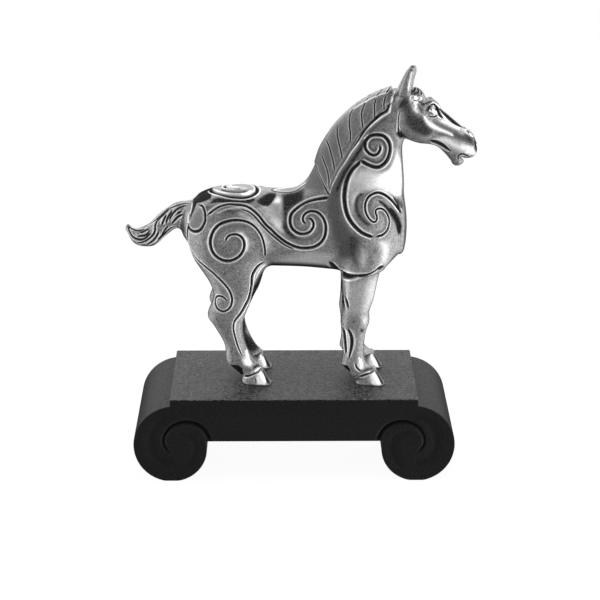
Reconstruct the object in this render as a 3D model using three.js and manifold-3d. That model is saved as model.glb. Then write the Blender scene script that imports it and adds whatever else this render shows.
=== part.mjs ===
// A cast pewter horse, standing square, on a black wooden plinth whose two ends roll under into volutes.
// Millimetres, +Z up, the horse facing +X. The origin is the middle of the whole outline, on the table.
import * as THREE from 'three';
import { mergeVertices } from 'three/addons/utils/BufferGeometryUtils.js';
import Module from 'manifold-3d';

const wasm = await Module();
wasm.setup();

// Driving sizes of the plinth
const plinthLength = 150;
const plinthDepth = 70;
const plinthHeight = 40.5;
const plateLength = 115.5;
const plateStep = 3.2;
const beamUnderside = 19.8;
const rollPitch = 6.7; // how much the roll tightens in one turn
const rollCentreHeight = 16.85; // a little less than the roll's radius, so each roll is planed flat below
const seamDepth = 1.4;
const seamWidth = 1.8;
const hollowDepth = 1;
const hollowWidth = 6;

// Driving sizes of the horse, its heights taken from the soles of its hooves
const hoofTrack = 26; // between the middles of the left and right hooves
const foreToe = 43;
const hindToe = -10.5;
const hoofLength = 15.5;
const hoofHeight = 7.6;
const hoofWidth = 9.8;
const grooveDepth = 0.9;
const grooveWidth = 1.6;
const coilHeight = 1.1;
const coilWidth = 2.4;
const stripOverlap = 0.9; // how far a carved strip starts on the other side of the skin
const stripEnd = 0.4; // how much of a strip is left at its two ends
const outside = 250; // further out than any of the horse

const turn = Math.PI / 180;

// A spiral in a plane: from one radius to another about a centre, over an angle in degrees.
function curl([cx, cz], fromRadius, toRadius, startAngle, sweep, step = 33) {
  const count = Math.ceil(Math.abs(sweep) / step);
  return Array.from({ length: count + 1 }, (_, i) => {
    const radius = fromRadius + ((toRadius - fromRadius) * i) / count;
    const angle = (startAngle + (sweep * i) / count) * turn;
    return [cx + radius * Math.cos(angle), cz + radius * Math.sin(angle)];
  });
}

// A closed triangle mesh as a solid that can be joined and cut.
function solid(geometry) {
  const bare = geometry.clone();
  bare.deleteAttribute('normal');
  bare.deleteAttribute('uv');
  const merged = mergeVertices(bare, 1e-4);
  return new wasm.Manifold(new wasm.Mesh({
    numProp: 3,
    vertProperties: merged.attributes.position.array,
    triVerts: new Uint32Array(merged.index.array),
  }));
}

function geometryOf(made) {
  const { vertProperties, triVerts } = made.getMesh();
  const geometry = new THREE.BufferGeometry();
  geometry.setAttribute('position', new THREE.BufferAttribute(new Float32Array(vertProperties), 3));
  geometry.setIndex(new THREE.BufferAttribute(new Uint32Array(triVerts), 1));
  geometry.computeVertexNormals();
  return geometry;
}

const joined = (solids) => solids.reduce((a, b) => a.add(b));

// The body of a limb is a closed skin between two rails, which are its two outlines seen from the side.
// Each station gives the back outline [x, z], the front outline [x, z], the half width across the animal,
// the sideways place of its middle, and how much narrower the back edge is than the front edge.
// The relief, a function of the place along the limb and the angle round it, swells or pinches the skin.
function limb(stations, { rings, sides, power = 2, domes = [0.3, 0.3], domeRings = 2, relief = () => 1 }) {
  const rail = (pick) => new THREE.CatmullRomCurve3(stations.map(pick), false, 'catmullrom', 0.5);
  const back = rail(([[x, z]]) => new THREE.Vector3(x, 0, z));
  const front = rail(([, [x, z]]) => new THREE.Vector3(x, 0, z));
  const girth = rail(([, , width, y = 0, taper = 0]) => new THREE.Vector3(width, y, taper));
  const squarer = (value) => Math.sign(value) * Math.abs(value) ** (2 / power);
  const section = (t) => {
    const [b, f, g] = [back, front, girth].map((curve) => curve.getPoint(t));
    const middle = b.clone().add(f).multiplyScalar(0.5).setY(g.y);
    const across = b.clone().sub(f);
    const reach = across.length() / 2;
    return { t, middle, across: across.normalize(), reach, width: g.x, taper: g.z };
  };
  const first = section(0);
  const last = section(1);
  const heading = (s) => new THREE.Vector3(-s.across.z, 0, s.across.x);
  const sense = Math.sign(heading(first).dot(section(0.02).middle.clone().sub(first.middle))) || 1;
  const dome = (s, roundness, side) => {
    const height = roundness * Math.min(s.reach, s.width) * side * sense;
    const steps = Array.from({ length: domeRings }, (_, k) => ((k + 1) / (domeRings + 1)) * 90 * turn);
    const rows = steps.map((angle) => [s, Math.cos(angle), heading(s).multiplyScalar(Math.sin(angle) * height)]);
    return { rows, pole: s.middle.clone().add(heading(s).multiplyScalar(height)) };
  };
  const start = dome(first, domes[0], -1);
  const end = dome(last, domes[1], 1);
  const rows = [
    ...start.rows.reverse(),
    ...Array.from({ length: rings + 1 }, (_, i) => [section(i / rings), 1, new THREE.Vector3()]),
    ...end.rows,
  ];
  const points = rows.flatMap(([s, shrink, push]) => Array.from({ length: sides }, (_, j) => {
    const angle = (2 * Math.PI * j) / sides;
    const swell = relief(s.t, angle);
    const u = squarer(Math.cos(angle)) * swell;
    const v = squarer(Math.sin(angle)) * swell;
    const point = s.middle.clone().add(push).addScaledVector(s.across, u * s.reach * shrink);
    return point.setY(point.y + v * s.width * shrink * (1 - s.taper * u));
  }));
  const startPole = points.push(start.pole) - 1;
  const endPole = points.push(end.pole) - 1;
  const index = [];
  const triangle = (a, b, c) => index.push(...(sense > 0 ? [a, b, c] : [a, c, b]));
  for (let j = 0; j < sides; j++) {
    const next = (j + 1) % sides;
    for (let i = 0; i < (rows.length - 1) * sides; i += sides) {
      triangle(i + j, i + next, i + next + sides);
      triangle(i + j, i + next + sides, i + j + sides);
    }
    const rim = (rows.length - 1) * sides;
    triangle(startPole, next, j);
    triangle(endPole, rim + j, rim + next);
  }
  const geometry = new THREE.BufferGeometry().setFromPoints(points);
  geometry.setIndex(index);
  return solid(geometry);
}

const otherSide = (stations) => stations.map(([b, f, width, y = 0, taper = 0]) => [b, f, width, -y, taper]);

// Stations run from the tail end forwards, or from the top down.
const trunk = [
  [[-47.5, 85.5], [-49, 69], 10.5],
  [[-42, 89.3], [-44, 61], 14.5],
  [[-33, 91.6], [-34, 57.5], 17.4],
  [[-22, 92.6], [-22, 56.4], 18.4],
  [[-8, 91.2], [-8, 56], 17.9],
  [[6, 92.2], [6, 55.4], 17.8],
  [[22, 96], [23, 53.6], 17.6],
  [[36, 94], [36, 53], 16.6],
  [[44, 89], [44, 56.5], 13.8],
  [[49, 82], [49, 62.5], 9],
];
const neck = [
  [[2, 84], [50, 64], 16.6, 0, 0.05],
  [[5.5, 94], [51.2, 84], 15.2, 0, 0.2],
  [[10.6, 105], [51.3, 96], 12.8, 0, 0.3],
  [[14.5, 115], [50.6, 106], 10.4, 0, 0.35],
  [[22, 125.2], [50.3, 112], 8.8, 0, 0.35],
  [[31.5, 133], [51.3, 116], 7.8, 0, 0.3],
  [[40.5, 137.6], [53, 118], 7.2, 0, 0.2],
  [[46.5, 139], [55.5, 120], 6.8, 0, 0.1],
];
const head = [
  [[46.5, 138.3], [49.5, 119], 7, 0, 0.1],
  [[53.5, 139.4], [53.2, 115.2], 7.9, 0, 0.15],
  [[59.5, 137], [58, 113.4], 7.7, 0, 0.2],
  [[65, 132.6], [63, 113.2], 6.4, 0, 0],
  [[70.2, 128], [66.8, 111.8], 5.1, 0, -0.1],
  [[75.4, 123.8], [70.3, 108.6], 4.5, 0, -0.1],
  [[80, 120.4], [74, 104.4], 4.8, 0, 0],
  [[84, 115], [79, 106.2], 4.1, 0, 0],
];
const mane = [
  [[9.7, 104.6], [16.2, 91.4], 12.6, 0, 0.55],
  [[12.6, 112.8], [17.6, 97], 12, 0, 0.55],
  [[19.8, 123.6], [23.4, 107.6], 9.8, 0, 0.5],
  [[28.6, 131.8], [30, 118.4], 8.2, 0, 0.4],
  [[37.2, 137.2], [37.2, 126.8], 7.1, 0, 0.35],
  [[45.2, 140.2], [45.2, 134.2], 5.6, 0, 0.3],
];
const maneLocks = 7;
const tail = [
  [[-44, 86], [-46, 68], 5.5],
  [[-50.5, 85.9], [-51.2, 71.8], 5.2],
  [[-55.3, 85], [-55, 73], 5],
  [[-62.2, 80.3], [-59.8, 69.6], 4.9],
  [[-68, 75], [-65.8, 64.6], 4.6],
  [[-74, 72.8], [-74.3, 65.5], 3.3],
  [[-77.4, 75], [-78.6, 72.4], 1.1],
];
const tailLocks = 6;
const haunch = [
  [[-46, 84], [-18, 84], 11, 6.4],
  [[-49.5, 74], [-14.2, 74], 12.4, 6.2],
  [[-47.3, 62.5], [-12.6, 62.5], 10.2, 8.2],
  [[-39.5, 50.5], [-15.4, 50.5], 7.2, 11],
  [[-37.6, 43.5], [-18.8, 43.5], 5.8, 12],
  [[-40.3, 34.6], [-23, 33.6], 4.9, 12.6],
  [[-37, 28.6], [-23.9, 28.2], 4.4, 12.8],
  [[-32.6, 20], [-22.6, 20], 4.1, 13],
  [[-31.6, 11], [-19, 12.4], 4.5, 13],
  [[-26.6, 4.4], [-14.4, 8], 4.5, 13],
];
const shoulder = [
  [[16, 84], [44, 84], 10.5, 6],
  [[17.5, 72], [47, 72], 12.4, 6],
  [[19.6, 60], [46.4, 62], 11.6, 7],
  [[23.4, 53.4], [42.6, 56.6], 9.4, 9.4],
];
const foreleg = [
  [[23, 66], [44, 66], 7, 10],
  [[22.4, 53], [40, 54.5], 6.3, 11.2],
  [[22.6, 42.5], [37.4, 42.5], 5.3, 12.1],
  [[22.3, 35.6], [35.4, 36], 4.8, 12.5],
  [[21.9, 31], [35.4, 31], 4.9, 12.6],
  [[22.6, 25.6], [33.7, 25.6], 4.2, 12.9],
  [[23, 16], [32.9, 16], 3.9, 13],
  [[22.5, 9.4], [34.4, 10.6], 4.5, 13],
  [[26.6, 4.6], [38.2, 7.6], 4.5, 13],
];
const ear = [
  [[47, 136], [53, 136.5], 2.6, 4.7],
  [[48.4, 143], [54.8, 142.6], 2.3, 5],
  [[51, 148.4], [55.5, 147.6], 1.5, 5.3],
  [[53.3, 150.8], [55, 150.4], 0.6, 5.4],
];
const browBone = [
  [[53.5, 134.5], [56, 128.5], 1.6, 6],
  [[58.5, 135.5], [59.5, 129], 2.4, 5.6],
  [[64, 133], [62.4, 127.4], 2.1, 4.9],
  [[67.6, 129.6], [66.6, 127], 1, 4.2],
];
const nostril = [
  [[80.2, 118.2], [78.6, 112.4], 1, 3.7],
  [[83.3, 117.4], [82.6, 110.8], 1.3, 3.4],
];

// A hoof is a short block with a flat sole, its front wall sloping back from the toe to the hair line.
function hoof(toe, y) {
  const heel = toe - hoofLength;
  const rise = hoofHeight / 3;
  const stations = [
    [[heel, 0], [toe, 0], hoofWidth / 2, y],
    [[heel + 0.4, rise], [toe - 1.4, rise], hoofWidth / 2 - 0.2, y],
    [[heel + 1.6, hoofHeight * 0.6], [toe - 4.2, hoofHeight], hoofWidth / 2 - 0.6, y],
  ];
  return limb(stations, { rings: 2, sides: 10, power: 2.4, domes: [0, 0.2], domeRings: 0 });
}

// Lines carved into both sides. Each is a list of [x, z] points, a curl at its end given by a spiral.
const sideLines = [
  [[-13.4, 61], [-13.6, 67], [-15.4, 74], [-20.5, 79.6], [-27.5, 81.6], ...curl([-28.8, 70.1], 10.7, 2.6, 128, 400)],
  [
    [-40, 82.7], [-36.5, 85.6], [-29, 87.6], [-21.2, 86.8], [-16.5, 84], [-10.6, 77.8], [-6, 72.6],
    [-1.2, 69], ...curl([6.2, 80], 12.3, 2.2, -94, 290),
  ],
  [[15.8, 91.2], [9, 89.2], ...curl([4.3, 80], 7.4, 3.4, 112, 290)],
  [
    [-48.2, 74], [-48, 68], [-45.8, 63.6], [-41, 59.4], [-36, 55.4], [-32, 50.8],
    ...curl([-33, 41.2], 4.8, 2.2, 30, -340, 42),
  ],
  [[-13.7, 60.2], [-17.6, 58.3], [-19.6, 53], [-20.6, 45], [-22.6, 39.1], [-27.6, 32.5], [-28.4, 26], [-24.7, 15]],
  curl([-43.8, 80.6], 5.6, 5.2, 100, -280, 47),
  [[30.8, 107.6], [34.5, 106.4], ...curl([37.4, 113.4], 7.6, 2.2, -80, 430, 36)],
  [
    [30.8, 107.6], [27, 104.2], [24.2, 98.4], [23.4, 91.5], [24.6, 84.8], [28, 78.6],
    ...curl([38.2, 82], 9.9, 2, -130, 320, 36),
  ],
  [[50, 80.6], [48.4, 83.8], ...curl([38, 84.5], 9.2, 2, 22, 310, 36)],
];

// Lines carved into the back, as [x, y] points: the edge of the panel down the spine, and the coil on the croup.
const croup = [-27, 0];
const panelEdge = [[-46, 3.4], [-39.5, 3.2], ...curl(croup, 11, 11, 155, -125, 25), [-11, 6.4], [-3, 2.6]];
const croupCoil = curl(croup, 8.4, 2.2, -20, 540, 36);

// A closed strip of three-cornered section along a line on the skin: one corner lies off the skin by
// height, inwards for a groove and outwards for a ridge, and the strip grows slighter at both ends.
function strip(hits, height, halfWidth) {
  const clearance = stripOverlap * Math.sign(height);
  const last = hits.length - 1;
  const points = hits.flatMap(({ point, normal }, i) => {
    const ahead = hits[Math.min(i + 1, last)].point.clone().sub(hits[Math.max(i - 1, 0)].point).normalize();
    const side = ahead.cross(normal).normalize();
    const fade = i === 0 || i === last ? stripEnd : 1;
    const base = point.clone().addScaledVector(normal, -clearance);
    const spread = halfWidth * fade * (1 + clearance / height);
    return [
      point.clone().addScaledVector(normal, height * fade),
      base.clone().addScaledVector(side, spread),
      base.clone().addScaledVector(side, -spread),
    ];
  });
  const index = [];
  for (let i = 0; i < last * 3; i += 3) {
    for (const [a, b] of [[0, 1], [1, 2], [2, 0]]) index.push(i + a, i + b, i + b + 3, i + a, i + b + 3, i + a + 3);
  }
  index.push(0, 2, 1, last * 3, last * 3 + 1, last * 3 + 2);
  if (height < 0) index.reverse();
  const geometry = new THREE.BufferGeometry().setFromPoints(points);
  geometry.setIndex(index);
  return solid(geometry);
}

// Drops the points of a flat line onto the body, in one direction, and evens out the skin's directions.
function dropped(body, line, lift, direction) {
  const ray = new THREE.Raycaster();
  const hits = line.flatMap((point) => {
    ray.set(lift(point), direction);
    const [hit] = ray.intersectObject(body);
    return hit ? [{ point: hit.point, normal: hit.face.normal }] : [];
  });
  return hits.map(({ point, normal }, i) => {
    const around = [hits[i - 1], hits[i + 1]].filter(Boolean).map((hit) => hit.normal);
    return { point, normal: around.reduce((sum, n) => sum.add(n), normal.clone()).normalize() };
  });
}

const acrossTheMiddle = (hits) => hits.map(({ point, normal }) => ({
  point: point.clone().setY(-point.y),
  normal: normal.clone().setY(-normal.y),
}));

// The mane hangs in locks, each one full in its middle and pinched where it meets the next.
const maneRelief = (t) => 0.96 + 0.09 * Math.abs(Math.sin(maneLocks * Math.PI * t));

// The tail is combed into long locks that wind a little round it.
const tailRelief = (t, angle) => 1 + 0.09 * Math.cos(tailLocks * (angle + 0.8 * Math.sin(4 * t)));

function horse() {
  const legs = { sides: 8, power: 2.3 };
  const pieces = [
    limb(trunk, { rings: 10, sides: 14, power: 2.2, domes: [0.5, 0.3] }),
    limb(neck, { rings: 6, sides: 12 }),
    limb(head, { rings: 10, sides: 12, power: 2.1, domes: [0.3, 0.5] }),
    limb(mane, { rings: 2 * maneLocks, sides: 12, power: 4, domes: [0, 0], domeRings: 0, relief: maneRelief }),
    limb(tail, { rings: 12, sides: 2 * tailLocks, domes: [0.3, 0.6], domeRings: 1, relief: tailRelief }),
  ];
  for (const place of [(stations) => stations, otherSide]) {
    pieces.push(
      limb(place(haunch), { ...legs, rings: 12, sides: 10, domes: [0.5, 0.2] }),
      limb(place(shoulder), { ...legs, rings: 4, sides: 10, domes: [0.6, 0.12] }),
      limb(place(foreleg), { ...legs, rings: 10, domes: [0.4, 0.2] }),
      limb(place(ear), { rings: 3, sides: 6, domes: [0.1, 0.8], domeRings: 1 }),
      limb(place(browBone), { rings: 3, sides: 6, domes: [0.5, 0.5], domeRings: 1 }),
      limb(place(nostril), { rings: 1, sides: 6, domes: [0.5, 0.5], domeRings: 1 }),
    );
  }
  for (const y of [-hoofTrack / 2, hoofTrack / 2]) pieces.push(hoof(foreToe, y), hoof(hindToe, y));
  const plain = joined(pieces);
  const body = new THREE.Mesh(geometryOf(plain));
  const beside = ([x, z]) => new THREE.Vector3(x, outside, z);
  const above = ([x, y]) => new THREE.Vector3(x, y, outside);
  const inward = new THREE.Vector3(0, -1, 0);
  const down = new THREE.Vector3(0, 0, -1);
  const routes = [
    ...sideLines.map((line) => dropped(body, line, beside, inward)),
    dropped(body, panelEdge, above, down),
  ];
  const grooves = routes.flatMap((hits) => [hits, acrossTheMiddle(hits)])
    .map((hits) => strip(hits, -grooveDepth, grooveWidth / 2));
  const coil = strip(dropped(body, croupCoil, above, down), coilHeight, coilWidth / 2);
  return plain.add(coil).subtract(joined(grooves));
}

// The end view of the plinth's long side: a raised plate, then on each side a roll that winds under.
function plinthOutline() {
  const rollAtTop = plinthHeight - plateStep - rollCentreHeight;
  const rollAt = (angle) => rollAtTop - (rollPitch * (90 - angle)) / 360;
  const centreX = plinthLength / 2 - rollAt(0);
  const plateEnd = plateLength / 2;
  const firstAngle = Math.acos((plateEnd - centreX) / rollAtTop) / turn;
  const lastAngle = -180 - Math.asin((beamUnderside - rollCentreHeight) / rollAt(-190)) / turn;
  const right = [[plateEnd, plinthHeight]];
  const steps = 30;
  for (let i = 0; i <= steps; i++) {
    const angle = THREE.MathUtils.lerp(firstAngle, lastAngle, i / steps);
    const z = rollCentreHeight + rollAt(angle) * Math.sin(angle * turn);
    right.push([centreX + rollAt(angle) * Math.cos(angle * turn), Math.max(z, 0)]);
  }
  const left = right.map(([x, z]) => [-x, z]).reverse();
  return { outline: [...right, ...left].map(([x, z]) => new THREE.Vector2(x, z)), centreX };
}

function plinth() {
  const { outline, centreX } = plinthOutline();
  const block = new THREE.ExtrudeGeometry(new THREE.Shape(outline), {
    depth: plinthDepth, bevelEnabled: false, steps: 1,
  });
  block.rotateX(90 * turn);
  block.translate(0, plinthDepth / 2, 0);
  const seam = curl([centreX - 2.4, rollCentreHeight + 1], 14.8, 5.1, 168, -208, 20);
  const hollow = curl([centreX, rollCentreHeight], 14.4, 7.6, 66, -170, 24);
  const cuts = [-1, 1].flatMap((end) => [-1, 1].flatMap((face) => {
    const normal = new THREE.Vector3(0, face, 0);
    const onFace = ([x, z]) => ({ point: new THREE.Vector3(end * x, (face * plinthDepth) / 2, z), normal });
    return [
      strip(seam.map(onFace), -seamDepth, seamWidth / 2),
      strip(hollow.map(onFace), -hollowDepth, hollowWidth / 2),
    ];
  }));
  return solid(block).subtract(joined(cuts));
}

const pewter = new THREE.MeshStandardMaterial({ color: 0x9a9a9a, roughness: 0.3, metalness: 1 });
const blackWood = new THREE.MeshStandardMaterial({ color: 0x1c1c1c, roughness: 0.6, metalness: 0 });

function named(name, made, material, height) {
  const mesh = new THREE.Mesh(geometryOf(made), material);
  mesh.name = name;
  mesh.position.z = height;
  return mesh;
}

const part = new THREE.Group();
part.add(named('plinth', plinth(), blackWood, 0), named('horse', horse(), pewter, plinthHeight));
const outlineBox = new THREE.Box3().setFromObject(part);
part.position.x = -(outlineBox.min.x + outlineBox.max.x) / 2;

export default part;
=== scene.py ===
# %% [markdown]
# # A cast horse on a scroll-ended plinth
#
# The object is a desk figure: a horse cast in a grey metal and rubbed bright, with dark lines carved into
# its skin, on a block of black-stained wood whose two ends roll under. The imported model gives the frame.
# Two pieces are made here, the finished skins of the horse and of the plinth, and each takes the place of
# its plain solid.

# %% Load the frame
import math

import bpy
import numpy as np
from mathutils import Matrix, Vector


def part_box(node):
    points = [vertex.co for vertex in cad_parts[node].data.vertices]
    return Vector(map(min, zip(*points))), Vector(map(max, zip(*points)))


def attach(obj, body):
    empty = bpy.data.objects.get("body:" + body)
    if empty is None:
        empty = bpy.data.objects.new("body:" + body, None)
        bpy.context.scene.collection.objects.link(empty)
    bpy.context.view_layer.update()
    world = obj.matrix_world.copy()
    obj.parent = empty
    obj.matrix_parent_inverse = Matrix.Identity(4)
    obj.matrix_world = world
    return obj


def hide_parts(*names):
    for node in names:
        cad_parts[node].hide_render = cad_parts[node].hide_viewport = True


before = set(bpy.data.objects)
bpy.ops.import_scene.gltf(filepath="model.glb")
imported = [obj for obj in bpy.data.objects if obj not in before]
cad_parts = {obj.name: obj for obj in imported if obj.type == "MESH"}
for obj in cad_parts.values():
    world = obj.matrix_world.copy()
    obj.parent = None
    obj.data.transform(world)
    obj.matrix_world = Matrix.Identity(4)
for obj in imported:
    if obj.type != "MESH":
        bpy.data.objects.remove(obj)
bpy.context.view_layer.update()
plinth_low, plinth_high = (np.array(corner) * 1000 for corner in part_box("plinth"))
horse_low, horse_high = (np.array(corner) * 1000 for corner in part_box("horse"))
# Shapes are worked out in millimetres, with x from the plinth's middle and z from the soles.
soles = np.array([(plinth_low[0] + plinth_high[0]) / 2, 0.0, plinth_high[2]])
print("soles at", soles.round(3), "mm; horse", (horse_high - horse_low).round(1), "mm")

# %% [markdown]
# ## Limbs as profiles carried between two rails
#
# A caster's model of a horse is a handful of rounded masses pressed into each other. Each mass is described
# here by stations from one end to the other. A station gives the point on the back rail, the point on the
# front rail, the half width across the animal, how far out it sits, and how much narrower it is towards the
# back. Lofting them and joining the lofts would leave a crease at every joint. Instead each limb becomes a
# distance: negative inside, nothing on its skin, positive outside. Distances can be joined with any
# roundness at the joint, and one skin is laid over the whole at the end.

# %% A smooth way through the stations
def smooth_path(rows, steps):
    """Catmull-Rom: each span leaves its first row along the line between the rows on either side of it."""
    rows = np.asarray(rows, float)
    rows = np.vstack([2 * rows[0] - rows[1], rows, 2 * rows[-1] - rows[-2]])
    t = np.linspace(0, 1, steps, endpoint=False)[:, None]
    spans = []
    for a, b, c, d in zip(rows[:-3], rows[1:-2], rows[2:-1], rows[3:]):
        bend = 2 * a - 5 * b + 4 * c - d + t * (3 * (b - c) + d - a)
        spans.append(b + t / 2 * (c - a + t * bend))
    return np.vstack(spans + [rows[-2:-1]])


# %% One limb
FAR = 40.0  # what a point far from a mass gets instead of its distance, in mm
REACH = 9.0  # how far beyond a mass its distance is still worked out, in mm


class Limb:
    """A closed mass whose sections are superellipses standing on two rails."""

    def __init__(self, stations, power=2.2, domes=(0.4, 0.4), paired=False, steps=8):
        table = np.array([[*back, *front, *(rest + [0, 0])[:3]] for back, front, *rest in stations], float)
        rows = smooth_path(table, steps)
        back, front = rows[:, 0:2], rows[:, 2:4]
        middle = (back + front) / 2
        across = (back - front) / 2
        half = np.hypot(*across.T)
        along = np.gradient(middle, axis=0)
        ahead = np.stack([across[:, 1], -across[:, 0]], 1) / half[:, None]
        ahead *= np.sign((ahead * along).sum(1))[:, None]
        self.middle, self.across, self.ahead = middle, across / half[:, None], ahead
        self.rows = np.column_stack([middle, self.across, half, rows[:, 4:7]])
        self.power, self.paired = power, paired
        ends = self.rows[[0, -1]]
        self.caps = [max(0.05, dome * math.sqrt(end[4] * end[5])) for dome, end in zip(domes, ends)]
        width = rows[:, 4] + np.abs(rows[:, 5])
        corners = np.vstack([back, front])
        pad = REACH + max(self.caps)
        self.low = np.array([corners[:, 0].min() - pad, -width.max() - pad, corners[:, 1].min() - pad])
        self.high = np.array([corners[:, 0].max() + pad, width.max() + pad, corners[:, 1].max() + pad])

    def section(self, values, x, y, z, overshoot, cap):
        """Distance from one section: q = (|s|^p + |v|^p)^(1/p), less 1, over the length of its gradient."""
        cx, cz, ax, az, half, width, out, narrow = values.T
        s = ((x - cx) * ax + (z - cz) * az) / half
        wide = width * (1 - narrow * np.clip(s, -1.2, 1.2))
        v = (y - out) / wide
        p = self.power
        q = (np.abs(s) ** p + np.abs(v) ** p + 1e-9) ** (1 / p)
        slope = np.hypot((np.abs(s) / q) ** (p - 1) / half, (np.abs(v) / q) ** (p - 1) / wide)
        over = overshoot / cap
        whole = np.hypot(q, over)
        slope = np.hypot(slope * q / whole, over / (whole * cap))
        return (whole - 1) / np.maximum(slope, 1e-6)

    def place(self, x, z):
        """Where along the limb a point of the side view lies, and how far across, from -1 in front to 1."""
        ahead = np.subtract.outer(x, self.middle[:, 0]) * self.ahead[:, 0]
        ahead += np.subtract.outer(z, self.middle[:, 1]) * self.ahead[:, 1]
        aside = np.abs(np.subtract.outer(x, self.middle[:, 0]) * self.across[:, 0]
                       + np.subtract.outer(z, self.middle[:, 1]) * self.across[:, 1])
        passed = (ahead[:, :-1] >= 0) & (ahead[:, 1:] < 0)
        score = np.where(passed, aside[:, :-1], np.inf)
        k = score.argmin(1)
        pick = np.arange(len(x))
        found = passed[pick, k]
        gap = np.where(found, ahead[pick, k] - ahead[pick, k + 1], 1)
        return k + np.where(found, ahead[pick, k] / gap, 0), found, ahead[:, 0], ahead[:, -1]

    def values(self, t):
        """The rows of the table, read at a place between two of them."""
        k = np.minimum(t.astype(int), len(self.rows) - 2)
        f = (t - k)[:, None]
        return self.rows[k] * (1 - f) + self.rows[k + 1] * f

    def distance(self, points):
        """Signed distance to the limb's skin, right near it and only large elsewhere."""
        result = np.full(len(points), FAR)
        near = np.flatnonzero(((points > self.low) & (points < self.high)).all(1))
        for part in np.array_split(near, max(1, len(near) // 40000)):
            x, y, z = points[part].T
            if self.paired:
                y = np.sqrt(y * y + 0.5)
            t, found, before, after = self.place(x, z)
            body = self.section(self.values(t), x, y, z, 0.0, 1.0)
            best = np.where(found, body, FAR)
            first = np.repeat(self.rows[:1], len(x), 0)
            start = self.section(first, x, y, z, np.maximum(-before, 0), self.caps[0])
            best = np.where(before < 0, np.minimum(best, start), best)
            last = np.repeat(self.rows[-1:], len(x), 0)
            finish = self.section(last, x, y, z, np.maximum(after, 0), self.caps[1])
            best = np.where(after >= 0, np.minimum(best, finish), best)
            result[part] = best
        return result


# %% Joining and cutting distances
def merged(a, b, roundness):
    """The nearer of two distances, with the corner between them filled over the given roundness."""
    h = np.clip(0.5 + 0.5 * (b - a) / roundness, 0, 1)
    return b * (1 - h) + a * h - roundness * h * (1 - h)


def cut(a, b, roundness):
    """What of a lies outside b, with a rounded edge."""
    return -merged(-a, b, roundness)


def rod(points, path):
    """Distance to a round bar through (x, y, z, radius) rows, the nearest of its tapering pieces."""
    path = np.asarray(path, float)
    result = np.full(len(points), FAR)
    pad = REACH + path[:, 3].max()
    low, high = path[:, :3].min(0) - pad, path[:, :3].max(0) + pad
    mirrored = np.column_stack([points[:, 0], np.abs(points[:, 1]), points[:, 2]])
    near = np.flatnonzero(((mirrored > low) & (mirrored < high)).all(1))
    p = mirrored[near]
    best = np.full(len(near), FAR)
    for a, b in zip(path[:-1], path[1:]):
        step = b[:3] - a[:3]
        t = np.clip((p - a[:3]) @ step / (step @ step), 0, 1)
        away = np.linalg.norm(p - a[:3] - t[:, None] * step, axis=1)
        best = np.minimum(best, away - a[3] - t * (b[3] - a[3]))
    result[near] = best
    return result


def pebble(points, centre, radii, tilt=0.0):
    """Distance to an ellipsoid turned by tilt degrees in the side view, and to its mirror image."""
    c, s = math.cos(math.radians(tilt)), math.sin(math.radians(tilt))
    x, y, z = points[:, 0] - centre[0], np.abs(points[:, 1]) - centre[1], points[:, 2] - centre[2]
    scaled = np.stack([(x * c + z * s) / radii[0], y / radii[1], (z * c - x * s) / radii[2]])
    q = np.sqrt((scaled ** 2).sum(0)) + 1e-6
    slope = np.sqrt(((scaled / np.array(radii)[:, None]) ** 2).sum(0)) / q
    return (q - 1) / slope


# %% [markdown]
# ## The horse's masses
#
# The plain solid is lofted through much the same stations, so the skin stays close to it. Here the legs
# stand up to a millimetre nearer the middle, the hooves and the ears are a little slimmer, and the muzzle
# is lower at the nostrils. What is new is how the masses meet: the neck flows into the barrel, the shoulder
# stands over the forearm with a sharp undercut, and the mane is a slab with a clean edge. Stations are in
# millimetres, and the joints' roundness too.

# %% Trunk, neck and head
trunk = Limb([
    [[-47.5, 85.5], [-49, 69], 10.5],
    [[-42, 89.3], [-44, 61], 14.5],
    [[-33, 91.6], [-34, 57.5], 17.4],
    [[-22, 92.6], [-22, 56.4], 18.4],
    [[-8, 91.2], [-8, 56], 17.9],
    [[6, 92.2], [6, 55.4], 17.8],
    [[22, 96], [23, 53.6], 17.6],
    [[36, 94], [36, 53], 16.6],
    [[44, 89], [44, 56.5], 13.8],
    [[49, 82], [49, 62.5], 9],
], power=2.6, domes=(0.5, 0.3))
neck = Limb([
    [[2, 84], [50, 64], 16.6, 0, 0.0],
    [[5.5, 94], [51.2, 84], 15.2, 0, 0.08],
    [[10.6, 105], [51.3, 96], 12.8, 0, 0.14],
    [[14.5, 115], [50.6, 106], 10.4, 0, 0.2],
    [[22, 125.2], [50.3, 112], 8.8, 0, 0.25],
    [[31.5, 133], [51.3, 116], 7.8, 0, 0.25],
    [[40.5, 137.6], [53, 118], 7.2, 0, 0.2],
    [[46.5, 139], [55.5, 120], 6.8, 0, 0.1],
], domes=(0.3, 0.3))
head = Limb([
    [[46.5, 138.3], [49.5, 119], 6.6, 0, 0.1],
    [[53.5, 139], [53.2, 115.6], 6.7, 0, 0.1],
    [[59.5, 136], [58, 113.8], 6.2, 0, 0.1],
    [[65, 132.6], [63, 113.2], 5.2, 0, 0.05],
    [[70.2, 128], [66.8, 111.8], 4.3, 0, -0.05],
    [[75.4, 123.8], [70.3, 108.6], 4, 0, -0.1],
    [[79.6, 119.6], [74, 104.8], 4.4],
    [[83, 114.8], [78.4, 106.4], 4],
], power=2.3, domes=(0.3, 0.5))

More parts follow.
